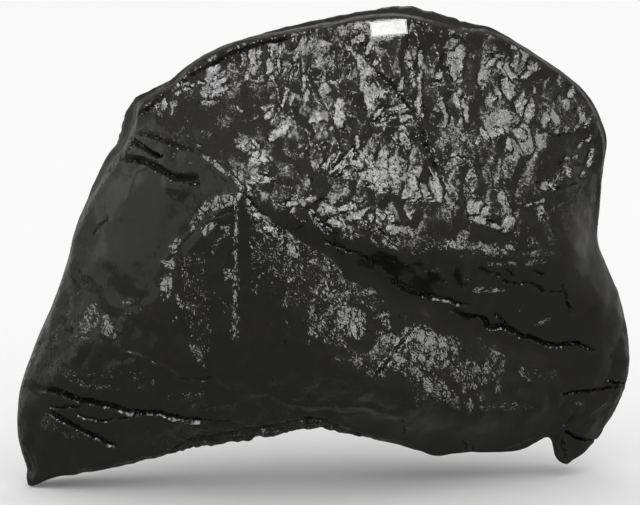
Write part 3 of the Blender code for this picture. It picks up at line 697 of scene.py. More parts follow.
    (0.75, 43, [(-464, -440), (-439, -425), (-425, -422), (-439, -442), (-454, -456), (-462, -450)]),
    (0.6, 24, [(-423, -433), (-402, -427), (-406, -445), (-423, -441)]),
    (0.6, 54, [(-438, -472), (-406, -440), (-402, -447), (-431, -476), (-434, -498), (-438, -498)]),
    (0.85, 46, [(-529, -482), (-512, -460), (-500, -468), (-515, -494), (-530, -499)]),
    (0.85, 33, [(-549, -515), (-521, -505), (-515, -526), (-536, -535)]),
    (0.85, 79, [(-549, -545), (-524, -539), (-522, -579), (-540, -600), (-550, -590)]),
    (0.5, -45, [(-518, -579), (-487, -608), (-495, -622), (-516, -603)]),
    (0.55, 90, [(-394, -375), (-384, -385), (-386, -510), (-398, -510), (-394, -440)]),
    (0.5, 90, [(-396, -510), (-383, -509), (-381, -683), (-402, -678)]),
    (0.3, 89, [(-511, -500), (-452, -486), (-453, -594), (-470, -617), (-499, -596)]),
    (0.3, 90, [(-504, -596), (-444, -586), (-440, -694), (-453, -741), (-487, -695)]),
    (0.6, -52, [(-494, -692), (-475, -692), (-447, -734), (-453, -750), (-474, -731)]),
    (0.6, 1, [(-419, -524), (-396, -527), (-394, -552), (-413, -552)]),
    (0.7, -46, [(-436, -577), (-419, -588), (-421, -594)]),
    (0.3, 61, [(-427, -594), (-398, -599), (-398, -627), (-423, -621)]),
    (0.65, 42, [(-529, -645), (-517, -631), (-512, -635), (-525, -647)]),
    (0.5, -44, [(-376, -365), (-361, -381), (-327, -409), (-252, -466), (-203, -496), (-164, -531), (-186, -539), (-239, -515), (-296, -485), (-335, -452), (-361, -422)]),
    (0.65, -42, [(-335, -413), (-288, -441), (-248, -467), (-252, -514), (-288, -489), (-318, -457)]),
    (0.38, -51, [(-365, -422), (-335, -452), (-292, -489), (-252, -518), (-230, -553), (-253, -573), (-296, -549), (-335, -522), (-360, -509)]),
    (0.34, -51, [(-252, -514), (-186, -539), (-150, -550), (-136, -582), (-153, -622), (-187, -624), (-227, -596), (-248, -556)]),
    (0.8, -51, [(-172, -625), (-153, -614), (-128, -616), (-106, -633), (-105, -668), (-126, -685), (-162, -674), (-181, -645)]),
    (0.45, -61, [(-254, -620), (-214, -609), (-174, -617), (-174, -646), (-153, -685), (-145, -711), (-189, -696), (-240, -668)]),
    (0.3, -41, [(-141, -569), (-81, -582), (-55, -610), (-87, -628), (-137, -611)]),
    (0.62, -71, [(-76, -634), (-55, -631), (-48, -673), (-71, -677)]),
    (0.6, 13, [(-85, -690), (-48, -677), (-25, -692), (-50, -714), (-86, -711)]),
    (0.4, -46, [(-156, -706), (-87, -715), (-31, -716), (-65, -744), (-97, -769), (-145, -736)]),
    (0.6, -5, [(-92, -636), (-64, -635), (-60, -647), (-88, -653)]),
    (0.62, -55, [(-19, -672), (27, -667), (63, -691), (101, -699), (115, -722), (104, -754), (65, -765), (13, -753), (-23, -729), (-35, -707)]),
    (0.75, -50, [(15, -720), (53, -724), (75, -751), (55, -764), (23, -746)]),
    (0.7, -37, [(-65, -742), (-32, -720), (-5, -743), (50, -774), (83, -807), (110, -849), (97, -863), (59, -832), (12, -795), (-29, -766)]),
    (0.5, -60, [(84, -756), (123, -750), (156, -766), (186, -736), (218, -747), (217, -790), (178, -804), (149, -822), (111, -810), (90, -787)]),
    (0.85, -42, [(76, -820), (102, -827), (110, -861), (89, -855)]),
    (0.8, -67, [(111, -802), (130, -827), (144, -866), (129, -877), (116, -842)]),
    (0.32, -24, [(-10, -772), (21, -792), (73, -824), (66, -852), (0, -845)]),
    (0.5, -7, [(150, -851), (192, -849), (251, -856), (290, -869), (289, -882), (253, -881), (156, -867)]),
    (0.75, -81, [(144, -807), (159, -808), (162, -845), (153, -846)]),
    (0.75, -80, [(191, -790), (207, -796), (204, -833), (189, -829)]),
    (0.65, -50, [(239, -768), (270, -786), (282, -813), (255, -804)]),
    (0.28, -4, [(275, -771), (351, -794), (347, -819), (289, -805)]),
    (0.8, -9, [(164, -881), (187, -880), (186, -896), (166, -893)]),
    (0.7, -70, [(204, -742), (218, -749), (220, -784), (206, -774)]),
    (0.4, -1, [(-59, -817), (-26, -820), (-27, -833), (-57, -830)]),
    (0.2, -20, [(-191, -768), (-119, -775), (-112, -814), (-177, -806)]),
    (0.45, -6, [(49, -696), (106, -695), (110, -717), (62, -716)]),
    (0.3, -61, [(-296, -558), (-248, -573), (-218, -607), (-241, -625), (-279, -602)]),
    (0.35, -61, [(-288, -619), (-271, -650), (-266, -668), (-288, -641)]),
    (0.45, 0, [(-348, -531), (-316, -529), (-320, -558), (-345, -560)]),
    (0.4, -1, [(-360, -483), (-309, -505), (-305, -527), (-356, -522)]),
    (0.4, 62, [(-358, -545), (-341, -558), (-343, -593), (-358, -576)]),
    (0.6, 90, [(-294, -587), (-279, -587), (-279, -609), (-292, -608)]),
    (0.7, 9, [(129, -597), (144, -587), (206, -592), (204, -600), (137, -602)]),
    (0.8, 19, [(281, -681), (326, -662), (324, -669), (291, -686)]),
    (0.6, -2, [(236, -640), (256, -636), (255, -646), (242, -650)]),
    (0.8, 18, [(-724, -667), (-713, -649), (-700, -624), (-687, -620), (-681, -656), (-687, -671), (-705, -682), (-722, -685)]),
    (0.62, 23, [(-789, -690), (-766, -668), (-740, -663), (-722, -666), (-727, -677), (-762, -688), (-785, -698)]),
    (0.8, -52, [(-676, -647), (-670, -638), (-659, -649), (-647, -670), (-638, -691), (-660, -691), (-677, -682)]),
    (0.9, 10, [(-751, -706), (-731, -690), (-696, -693), (-723, -705), (-745, -709)]),
    (0.85, 48, [(-805, -731), (-780, -703), (-771, -698), (-765, -721), (-776, -715), (-794, -731)]),
    (0.9, 7, [(-637, -638), (-612, -624), (-612, -641), (-633, -646)]),
    (0.55, 31, [(-641, -623), (-624, -604), (-598, -597), (-599, -609), (-626, -617)]),
    (0.6, -37, [(-595, -613), (-580, -620), (-586, -628), (-595, -622)]),
    (0.5, 10, [(-751, -653), (-726, -643), (-726, -653), (-746, -661)]),
    (0.4, -22, [(-792, -763), (-767, -752), (-735, -773), (-711, -797), (-659, -793), (-633, -796), (-638, -808), (-707, -812), (-755, -788)]),
    (0.28, 4, [(-713, -768), (-611, -755), (-609, -774), (-707, -781)]),
    (0.28, 3, [(-616, -760), (-581, -767), (-582, -805), (-612, -802)]),
    (0.3, 2, [(-579, -772), (-549, -775), (-556, -799), (-573, -800)]),
    (0.35, -22, [(-547, -804), (-510, -813), (-517, -837), (-543, -827)]),
    (0.38, -1, [(-506, -803), (-452, -809), (-449, -829), (-499, -825)]),
    (0.45, -1, [(-486, -833), (-471, -831), (-466, -854), (-486, -851)]),
    (0.42, -1, [(-458, -836), (-388, -835), (-364, -848), (-451, -857)]),
    (0.55, -11, [(-823, -891), (-803, -869), (-787, -875), (-768, -902), (-779, -915), (-815, -907)]),
    (0.45, -11, [(-775, -905), (-739, -908), (-700, -923), (-705, -931), (-766, -924)]),
    (0.3, 1, [(-656, -900), (-617, -896), (-569, -900), (-573, -943), (-617, -959), (-648, -938)]),
    (0.3, -1, [(-569, -916), (-507, -918), (-463, -930), (-466, -961), (-528, -970), (-573, -959)]),
    (0.26, -1, [(-463, -903), (-375, -905), (-242, -905), (-229, -918), (-308, -932), (-374, -946), (-458, -956)]),
    (0.3, -80, [(-761, -596), (-699, -567), (-695, -596), (-743, -617)]),
    (0.3, 36, [(-683, -422), (-648, -391), (-644, -406), (-675, -437)]),
    (0.25, -9, [(349, -850), (451, -828), (465, -860), (403, -889)]),
    (1, -35, [(-454, -289), (-432, -301), (-410, -316), (-389, -332), (-375, -347), (-373, -353), (-380, -353), (-393, -338), (-413, -322), (-434, -307), (-456, -295)]),
    (0.7, -52, [(-111, -448), (-98, -459), (-87, -475), (-82, -484), (-93, -477), (-107, -461)]),
    (0.75, -40, [(-72, -466), (-59, -475), (-44, -488), (-48, -492), (-65, -482), (-76, -473)]),
    (0.6, -11, [(-15, -526), (6, -530), (11, -538), (-9, -534)]),
    (0.35, -30, [(-156, -450), (-120, -450), (-98, -475), (-69, -486), (-38, -494), (-4, -503), (52, -494), (78, -486), (52, -473), (18, -456), (-11, -466), (-20, -486), (-48, -490), (-80, -482), (-111, -463), (-142, -466), (-166, -459)]),
    (0.3, -22, [(11, -540), (37, -534), (53, -526), (51, -544), (26, -551)]),
    (0.3, -58, [(56, -551), (70, -556), (81, -581), (76, -586), (65, -569)]),
    (0.22, 2, [(-67, -515), (-36, -515), (-13, -524), (-34, -531), (-60, -525)]),
    (0.45, 59, [(-207, -502), (-185, -509), (-168, -527), (-155, -541), (-164, -549), (-186, -539), (-208, -534)]),
    (0.55, 62, [(-208, -555), (-168, -553), (-136, -565), (-104, -581), (-77, -591), (-91, -601), (-141, -594), (-209, -589)]),
    (1.05, -18, [(-378, -359), (-398, -362), (-418, -366), (-439, -374), (-457, -387), (-470, -405), (-476, -418), (-455, -412), (-435, -401), (-415, -393), (-394, -383), (-382, -370)]),
    (0.95, -21, [(316, -263), (344, -254), (376, -250), (399, -243), (409, -251), (384, -259), (348, -265), (323, -270)]),
    (0.98, 53, [(281, -256), (314, -263), (306, -276), (295, -288), (287, -275)]),
    (0.95, 21, [(354, -198), (383, -193), (414, -199), (433, -222), (421, -239), (385, -240), (352, -236), (349, -217)]),
    (0.85, 54, [(190, -407), (207, -406), (215, -425), (216, -442), (197, -458), (188, -440)]),
    (0.9, 53, [(285, -435), (303, -441), (309, -465), (324, -491), (309, -498), (296, -473)]),
    (0.85, 55, [(257, -474), (269, -471), (281, -493), (247, -497)]),
    (0.75, -14, [(222, -517), (238, -509), (262, -507), (289, -505), (289, -511), (260, -513), (233, -518)]),
    (0.8, -10, [(255, -529), (277, -526), (299, -524), (302, -533), (278, -537), (258, -538)]),
    (0.9, 40, [(213, -526), (225, -529), (230, -541), (218, -535)]),
    (0.65, -3, [(163, -528), (183, -527), (202, -532), (200, -537), (166, -533)]),
    (0.85, 16, [(141, -480), (164, -488), (182, -485), (198, -501), (219, -515), (187, -509), (155, -507), (141, -491)]),
    (0.9, 50, [(329, -424), (339, -417), (356, -421), (364, -442), (358, -454), (346, -457), (344, -443)]),
]

CREASES = [
    # width on the left of its direction, width on its right, height, points
    (24, 5, 4.5, [(-373, -359), (-375, -347), (-387, -334), (-406, -316), (-430, -299), (-458, -283), (-489, -272), (-522, -260), (-563, -252), (-595, -250)]),
    (3, 3, 1.2, [(-389, -345), (-413, -331), (-441, -312), (-461, -295), (-471, -286)]),
    (5.1, 6.8, -7.25, [(-466, -283), (-491, -277), (-526, -268), (-564, -258), (-595, -258)]),
    (5.95, 6.8, -8.7, [(-544, -299), (-560, -293), (-581, -283), (-600, -274)]),
    (7.65, 11.05, -13.05, [(-466, -333), (-493, -338), (-520, -336), (-545, -325), (-569, -314), (-601, -311), (-637, -313)]),
    (4.25, 4.25, -4.35, [(-499, -344), (-483, -349), (-462, -347)]),
    (3.2, 4, 1.6, [(-568, -322), (-591, -333), (-600, -349), (-609, -373), (-620, -403)]),
    (2.55, 3.4, -3.19, [(-653, -435), (-673, -457), (-693, -479)]),
    (4.675, 4.675, -7.975, [(-203, -470), (-181, -477), (-161, -486), (-140, -494), (-117, -505), (-93, -521), (-70, -541), (-47, -557), (-24, -575), (0, -589), (30, -600), (58, -609)]),
    (5.1, 5.1, -8.7, [(-55, -562), (-28, -582), (8, -599), (42, -609), (74, -615), (103, -623), (135, -631)]),
    (5.95, 5.95, -11.6, [(82, -639), (109, -647), (133, -658), (164, -663), (179, -685), (208, -685), (236, -696), (255, -708), (279, -714), (303, -725), (327, -733), (356, -732), (387, -733), (417, -748), (461, -759)]),
    (4.25, 4.25, -7.25, [(190, -653), (207, -669), (224, -683)]),
    (4.25, 5.1, -7.25, [(192, -572), (227, -581), (262, -583), (287, -595), (305, -610)]),
    (4.25, 4.25, -5.8, [(138, -536), (167, -552), (196, -563)]),
    (3.4, 3.4, -5.8, [(205, -546), (215, -554), (225, -564)]),
    (3.4, 3.4, -5.8, [(267, -553), (282, -559), (297, -565)]),
    (3.4, 4.25, -5.8, [(341, -590), (352, -614), (358, -636), (372, -664)]),
    (4.25, 4.25, -5.8, [(312, -606), (327, -610), (342, -609)]),
    (9.35, 7.65, -13.05, [(-822, -822), (-780, -818), (-747, -829), (-714, -836), (-681, -839), (-649, -849), (-616, -859), (-573, -856), (-541, -862), (-497, -873), (-442, -883), (-362, -892)]),
    (7.65, 6.8, -13.05, [(-792, -869), (-765, -881), (-737, -896), (-709, -911), (-687, -923), (-665, -938), (-645, -945)]),
    (4.25, 4.25, -5.8, [(-791, -854), (-758, -853), (-721, -848)]),
    (4.25, 4.25, -5.8, [(-739, -863), (-704, -878), (-671, -881), (-643, -875), (-612, -871)]),
    (5, 9, 3, [(-639, -719), (-605, -721), (-577, -730), (-551, -743), (-526, -756), (-498, -767), (-461, -774)]),
    (12, 16, 5, [(-435, -770), (-396, -787), (-356, -805), (-317, -813), (-286, -826), (-257, -840), (-223, -844), (-170, -844), (-117, -844), (-76, -853), (-38, -867), (-1, -870)]),
    (5.1, 5.1, -5.8, [(-476, -772), (-457, -779), (-437, -770)]),
    (5.1, 5.1, -4.35, [(-24, -875), (-15, -892), (-13, -921)]),
    (9, 10, 5, [(358, -940), (373, -911), (388, -887), (409, -872)]),
    (4.25, 5.1, -5.8, [(368, -943), (397, -959), (432, -974), (471, -981)]),
    (6, 7, 3, [(348, -939), (323, -948), (286, -953), (251, -965), (216, -973)]),
    (3.4, 4.25, -4.35, [(364, -960), (370, -989), (375, -1015)]),
    (8, 8, 3, [(467, -878), (436, -895), (407, -921), (383, -937)]),
    (4.25, 4.25, -7.25, [(-72, -122), (-45, -142), (-22, -163), (-3, -191), (22, -222)]),
    (5.95, 5.95, -8.7, [(16, -231), (32, -270), (45, -304), (58, -335)]),
    (4, 4, 1.6, [(-370, -199), (-380, -296), (-386, -385), (-386, -505), (-389, -638), (-383, -778)]),
    (2.55, 2.55, -1.015, [(-374, -141), (-236, -142), (-126, -139), (29, -145), (166, -147), (320, -150)]),
    (7, 13, 7, [(442, -233), (426, -243), (398, -252), (357, -257), (316, -263), (273, -268)]),
    (2.21, 2.21, -3.77, [(-130, -437), (-112, -417), (-94, -399)]),
    (2.6, 2.6, 2.4, [(-97, -765), (-69, -737), (-43, -711), (-18, -686), (14, -660)]),
    (3.4, 2.55, -4.93, [(-83, -763), (-58, -738), (-31, -712), (-6, -687), (21, -663)]),
    (3, 3, 1.6, [(-143, -61), (-125, -48), (-109, -35), (-93, -35), (-78, -42)]),
    (2.6, 3, 2, [(-237, -90), (-252, -128), (-270, -171), (-290, -203), (-314, -231)]),
    (2.6, 3, 2, [(-246, -101), (-262, -142), (-280, -185), (-300, -215)]),
    (10, 4, 4, [(337, -421), (361, -404), (385, -388), (410, -370)]),
    (3.4, 4.25, -4.35, [(315, -380), (332, -360), (354, -336)]),
    (8.5, 8.5, -5.8, [(329, -322), (365, -333), (408, -334)]),
    (7.65, 7.65, -5.8, [(325, -381), (351, -381), (386, -372)]),
    (5, 6, 2, [(-376, -361), (-402, -373), (-435, -393), (-468, -417), (-479, -445), (-502, -468), (-525, -497), (-547, -526), (-550, -598)]),
    (3.4, 3.4, -2.9, [(-390, -398), (-419, -409), (-451, -420)]),
    (3.4, 3.4, -8.7, [(-597, -228), (-602, -261), (-604, -285), (-620, -301), (-635, -317), (-651, -339), (-673, -366), (-689, -391)]),
    (2.55, 2.55, -5.8, [(-599, -263), (-585, -276), (-564, -289), (-544, -299), (-533, -293)]),
    (4, 5, 3, [(353, -942), (371, -916), (390, -890), (406, -872)]),
    (5.1, 1.36, -7.25, [(371, -943), (397, -961), (426, -973)]),
    (3, 3, 2.5, [(361, -950), (375, -982), (380, -1011)]),
    (2.55, 2.55, -4.35, [(351, -949), (348, -980), (351, -1011)]),
    (2.5, 2.5, 1.5, [(411, -999), (443, -980), (471, -959), (491, -932), (503, -898)]),
    (6.8, 1.105, -8.7, [(349, -852), (387, -850), (425, -850), (470, -851), (510, -852)]),
    (5.1, 1.02, -8.7, [(465, -831), (497, -842), (529, -850)]),
    (5, 5, 3, [(-852, -947), (-839, -981), (-822, -1009), (-804, -1027)]),
    (4.25, 4.25, -8.7, [(-588, -221), (-562, -196), (-539, -180), (-521, -167), (-477, -135), (-433, -111), (-388, -89), (-335, -68), (-273, -53), (-218, -42)]),
    (2.21, 3.4, -3.77, [(-224, -880), (-225, -898), (-222, -913)]),
    (2.21, 3.4, -3.77, [(-204, -878), (-203, -895), (-205, -911)]),
    (1.87, 2.55, -3.19, [(-225, -895), (-214, -893), (-203, -895)]),
    (2.21, 2.975, -3.77, [(127, -948), (135, -959), (135, -976)]),
    (2.04, 2.55, -3.48, [(143, -948), (152, -963), (156, -977)]),
    (2.4, 2.4, 2, [(-454, -291), (-432, -303), (-412, -316), (-391, -334), (-375, -351)]),
]


def plates(x, z, height, sheet, spread):
    """Lays the flat facets into a crinkled height field."""
    lamp = lamp_points(KEY, 0.5)
    step = 5.0
    table = []
    for cx, cz, length, width, angle in PLATES:
        pieces = max(1, int(round(length / (1.7 * width + 4))))
        c, s = math.cos(math.radians(angle)), math.sin(math.radians(angle))
        for k in range(pieces):
            at = (k - (pieces - 1) / 2) * 2 * length / pieces
            table.append((cx + c * at, cz + s * at, 1.2 * length / pieces, width, angle))
    table = np.array(table)
    cx, cz = table[:, 0], table[:, 1]
    gx = (sheet(cx + step, cz) - sheet(cx - step, cz)) / (2 * step)
    gz = (sheet(cx, cz + step) - sheet(cx, cz - step)) / (2 * step)
    depth = sheet(cx, cz)
    for k, (cx, cz, length, width, angle) in enumerate(table):
        reach = 1.35 * max(length, width) + 6
        near = (np.abs(x - cx) < reach) & (np.abs(z - cz) < reach)
        if not near.any():
            continue
        centre = np.array([cx, -depth[k], cz])
        tx, tz = np.array([1, -gx[k], 0]), np.array([0, -gz[k], 1])
        normal = np.array([-gx[k], -1, -gz[k]])
        normal /= np.linalg.norm(normal)
        to_view = VIEWPOINT - centre
        to_view /= np.linalg.norm(to_view)
        to_lamp = lamp - centre
        to_lamp /= np.linalg.norm(to_lamp, axis=1, keepdims=True)
        half = to_lamp + to_view
        half /= np.linalg.norm(half, axis=1, keepdims=True)
        want = half[np.argmax(half @ normal)]
        hx = -(want @ tx) / (want @ normal)
        hz = -(want @ tz) / (want @ normal)
        px, pz = x[near] - cx, z[near] - cz
        c, s = math.cos(math.radians(angle)), math.sin(math.radians(angle))
        a, b = (px * c + pz * s) / length, (-px * s + pz * c) / width
        r = (np.abs(a) ** 2.6 + np.abs(b) ** 2.6) ** (1 / 2.6)
        r += 0.30 * facets(x[near], z[near], max(7.0, 1.3 * width), 300 + k % 40)
        w = np.clip((1.22 - r) / 0.34, 0, 1)
        plate = np.clip(hx * px + hz * pz, -4, 4)
        rough = 0.55 * facets(x[near], z[near], 7.5, 61) + 0.75 * facets(x[near], z[near], 15, 62, math.radians(angle), 2.2)
        height[near] = height[near] * (1 - w) + w * (plate + spread * rough)
    return height


# ---------------------------------------------------------------- crinkles of the near panel
def near_calm(x, z):
    """1 where the film lies smooth."""
    left = blob(x, z, -610, -470, 165, 235, 0.25)
    trough = blob(x, z, 40, -610, 400, 72, -0.36)
    right = np.maximum(blob(x, z, 380, -620, 150, 330), blob(x, z, 290, -590, 130, 80))
    low = blob(x, z, 120, -935, 470, 105, -0.05)
    corner = blob(x, z, -740, -900, 190, 95, -0.3)
    return np.maximum.reduce([left, trough, right, low, 0.8 * corner])


def near_plain(x, z):
    """1 where the mesh can be coarse: smooth film, away from the creases."""
    plain = near_calm(x, z) * (1 - ramp(x, -620, -540) * (1 - ramp(x, -110, -40)) * (1 - ramp(z, -905, -870)))
    for left, right, _, points in CREASES:
        line = curve(points)
        reach = max(left, right) + 5
        lo, hi = line.min(0) - reach, line.max(0) + reach
        near = np.flatnonzero((x > lo[0]) & (x < hi[0]) & (z > lo[1]) & (z < hi[1]))
        if len(near):
            gap, _ = to_line(x[near], z[near], line)
            plain[near[gap < reach]] = 0
    return plain


def zigzag(u, period):
    """Straight pleats of slope 1."""
    f = u / period - np.floor(u / period)
    return period * (np.abs(f - 0.5) - 0.25)


def slopes(x, z, sheet):
    """The macro shape's slopes, read from a coarse grid of them."""
    step = 12.0
    i0, j0 = int(x.min() // step) - 2, int(z.min() // step) - 2
    i1, j1 = int(x.max() // step) + 3, int(z.max() // step) + 3
    gi, gj = np.meshgrid(np.arange(i0, i1), np.arange(j0, j1), indexing="ij")
    depth = sheet(gi.ravel() * step, gj.ravel() * step).reshape(gi.shape)
    gx, gz = np.gradient(depth, step)
    a, b = x / step - i0, z / step - j0
    i, j = a.astype(int), b.astype(int)
    fa, fb = a - i, b - j
    out = []
    for g in (gx, gz):
        out.append((g[i, j] * (1 - fa) + g[i + 1, j] * fa) * (1 - fb) + (g[i, j + 1] * (1 - fa) + g[i + 1, j + 1] * fa) * fb)
    return out


def mirror_slopes(x, z, depth, lamp):
    """The slopes of the sheet that would mirror the lamp's middle to a viewer in front."""
    at = np.column_stack([x, -depth, z])
    to_view = VIEWPOINT - at
    to_view /= np.linalg.norm(to_view, axis=1, keepdims=True)
    to_lamp = lamp - at
    to_lamp /= np.linalg.norm(to_lamp, axis=1, keepdims=True)
    half = to_lamp + to_view
    return half[:, 0] / half[:, 1], half[:, 2] / half[:, 1]


def crushed_facets(size, stretch, sheet, relief, turn, seed):
    """A crinkle of flat facets, longer upright by `stretch`. Their heights are shuffled until
    few of them mirror the lamp, as the film hangs mostly turned away from it."""
    nu, nv = 120, 120
    i, j = np.meshgrid(np.arange(-nu, nu), np.arange(-nv, nv), indexing="ij")
    k = (i + j) * 0.2113249
    x = (i - k) * size - 160
    z = (j - k) * size * stretch - 520
    used = (x > -960) & (x < 620) & (z > -1130) & (z < 90)
    lamp = 1000 * (CENTRE + away(KEY["azimuth"], KEY["elevation"]) * KEY["distance"])
    depth = np.zeros(x.shape)
    depth[used] = sheet(np.clip(x[used], -880, 540), np.clip(z[used], -1050, 0))
    mx, mz = (m.reshape(x.shape) for m in mirror_slopes(x.ravel(), z.ravel(), depth.ravel(), lamp))
    start = relief * hashed(i, j, seed)
    height = start.copy()

    def cost(h):
        """How near each vertex's six triangles come to mirroring the lamp."""
        total = 0.004 * (h - start) ** 2
        for (ai, aj), (bi, bj) in (((1, 0), (1, 1)), ((1, 1), (0, 1)), ((0, 1), (-1, 0)), ((-1, 0), (-1, -1)), ((-1, -1), (0, -1)), ((0, -1), (1, 0))):
            ax, az = np.roll(x, (-ai, -aj), (0, 1)) - x, np.roll(z, (-ai, -aj), (0, 1)) - z
            bx, bz = np.roll(x, (-bi, -bj), (0, 1)) - x, np.roll(z, (-bi, -bj), (0, 1)) - z
            ah = np.roll(height + depth, (-ai, -aj), (0, 1)) - h - depth
            bh = np.roll(height + depth, (-bi, -bj), (0, 1)) - h - depth
            area = ax * bz - az * bx
            sx, sz = (ah * bz - bh * az) / area, (bh * ax - ah * bx) / area
            off = np.hypot((sx - mx) / turn[0], (sz - mz) / turn[1])
            total = total + np.maximum(0, 1.0 - off) ** 2 + 0.05 * np.maximum(0, np.hypot(sx, sz) - 1.1) ** 2
        return total

    colour = (i + j) % 3
    for sweep in range(5):
        for c in range(3):
            best, least = height.copy(), cost(height)
            for step in np.linspace(-1.6, 1.6, 9):
                tried = start * 0 + step * relief + 0.15 * relief * hashed(i, j, seed + 7 * sweep + c)
                now = cost(tried)
                better = (now < least) & (colour == c)
                best, least = np.where(better, tried, best), np.where(better, now, least)
            height = best

    def read(px, pz):
        a, b = (px + 160) / size, (pz + 520) / (size * stretch)
        k = (a + b) * 0.3660254
        u, v = a + k, b + k
        iu, iv = np.floor(u).astype(int), np.floor(v).astype(int)
        fu, fv = u - iu, v - iv
        iu, iv = iu + nu, iv + nv
        low, high = height[iu, iv], height[iu + 1, iv + 1]
        right, up = height[iu + 1, iv], height[iu, iv + 1]
        return np.where(fu > fv, (1 - fu) * low + (fu - fv) * right + fv * high, (1 - fv) * low + (fv - fu) * up + fu * high)

    return read


def crushed(x, z):
    amount = 0 * x
    for cx, cz, length, width, angle, how in CRUSHED:
        amount = np.maximum(amount, how * blob(x, z, cx, cz, 1.25 * length, 1.25 * width, math.radians(angle)))
    return amount


def pressed(x, z):
    """How much of the film faces the light, and the direction of its streaks."""
    much = np.zeros_like(x)
    run = np.full(x.shape, 90.0)
    ragged = 1.6 * facets(x, z, 9.0, 81) + 1.8 * facets(x, z, 19.0, 82)
    for how, angle, outline in PRESSED:
        ring = np.array(outline, float)
        lo, hi = ring.min(0) - 8, ring.max(0) + 8
        near = np.flatnonzero((x > lo[0]) & (x < hi[0]) & (z > lo[1]) & (z < hi[1]))
        if not len(near):
            continue
        px, pz = x[near], z[near]
        closed = np.concatenate([ring, ring[:1]])
        gap, _ = to_line(px, pz, closed)
        inside = np.zeros(len(px), bool)
        for (x0, z0), (x1, z1) in zip(closed[:-1], closed[1:]):
            if z0 != z1:
                inside ^= ((z0 > pz) != (z1 > pz)) & (px < (x1 - x0) * (pz - z0) / (z1 - z0) + x0)
        value = how * np.clip(0.5 + (np.where(inside, gap, -gap) + ragged[near]) / 5.0, 0, 1)
        more = value > much[near]
        much[near] = np.maximum(much[near], value)
        run[near[more]] = angle
    return much, np.radians(run)


def near_crumple(x, z, s, d_hem, sheet):
    wx = 9 * facets(x, z, 85, 1) + 3.5 * facets(x, z, 33, 2)
    wz = 9 * facets(x, z, 85, 3) + 3.5 * facets(x, z, 33, 4)
    X, Z = x + wx, z + wz
    quiet = 1 - 0.9 * np.clip(near_calm(x, z), 0, 1)
    amount = crushed(x, z)
    base = crushed_facets(27.0, 1.45, sheet, 5.5, (0.34, 0.36), 41)
    big = facets(X, Z, 74, 5)
    mid = facets(X, Z, 17, 6)
    fine = facets(X, Z, 9.0, 9) + 0.55 * facets(X, Z, 6.0, 10, 0.9)
    much, _ = pressed(x, z)
    height = base(X, Z) * (0.25 + 0.75 * quiet) * (1 - 0.6 * much)
    height += 1.5 * big * (0.4 + 0.6 * quiet)
    height += (0.25 + 0.6 * amount) * mid * quiet
    height += 0.6 * fine * amount * (0.3 + 0.7 * quiet)
    height += 0.35 * facets(X, Z, 14, 35) * (1 - quiet)
    height = plates(x, z, height, sheet, 1.0)
    for left, right, high, points in CREASES:
        height += crease(x, z, points, left, right, high)
    # The hem's left half turns under along its edge.
    under = ramp(-x, -60, 60) * ramp(x, -800, -700)
    height -= 5 * under * np.clip(1 - d_hem / 12, 0, 1)
    ruffled = hem_ruffle(x, d_hem)
    height += ruffled * (4.6 * facets(X, Z, 13, 36, 0.2, 1.6) + 2.6 * facets(X, Z, 8, 37)) - 9 * hem_ruffle(x, 1.15 * d_hem)
    return height * (1 - 0.9 * beneath_label(x, z))


def hem_ruffle(x, d_hem):
    """1 in the ruffled strip along the left half of the hem."""
    width = 8 + 36 * ramp(x, -560, -470) * (1 - ramp(x, -240, -50))
    return ramp(x, -640, -520) * (1 - ramp(x, -110, -30)) * (1 - ramp(d_hem, 0.7 * width, width + 4))


def flats_lie(points, side):
    """The normal of the film's pressed flats: they lean back by 31 degrees all over a side."""
    lie = np.array([0, 0.855 * side, 0.518])
    return np.tile(lie, (len(points), 1))


def streaks(x, z, run):
    """Where each point is along and across its place's streaks, in metres."""
    c, s = np.cos(run), np.sin(run)
    return MM * np.column_stack([x * c + z * s, -x * s + z * c, 0 * x])


def near_finest(x, z, s, d_hem):
    quiet = 1 - np.clip(near_calm(x, z), 0, 1)
    ruffled = hem_ruffle(x, d_hem)
    amount = crushed(x, z)
    much, run = pressed(x, z)
    patchy = ramp(0.7 * smooth(x, z, 24, 71) + 0.5 * smooth(x, z, 61, 72), -0.75, 0.75)
    edge = ramp(s, 2, 14)
    return {
        "crushed": np.clip(0.10 + 0.17 * quiet + 0.21 * amount + 0.50 * much + 0.8 * ruffled, 0, 1.3) * edge,
        "creased": (0.2 + 0.6 * quiet) * edge,
        "facing": np.maximum.reduce([0.92 * much**0.75, 0.19 * amount * patchy, 0.11 * quiet * patchy, 0.55 * ruffled]) * edge,
        "streaks": streaks(x, z, run),
    }


def far_finest(x, z, s, d_hem):
    patchy = ramp(smooth(x, z, 40, 73) + 0.6 * smooth(x, z, 90, 74), 0.0, 1.0)
    upper = ramp(z, -800, -420)
    edge = ramp(s, 15, 70)
    run = math.pi / 2 + 0.9 * np.round(1.5 * smooth(x, z, 120, 75))
    return {
        "crushed": 0.5 * edge,
        "creased": 0.7 * edge,
        "facing": (0.1 * upper + 0.7 * patchy * (0.3 + 0.7 * upper)) * edge,
        "streaks": streaks(x, z, run),
    }


def far_calm(x, z):
    return 0 * x


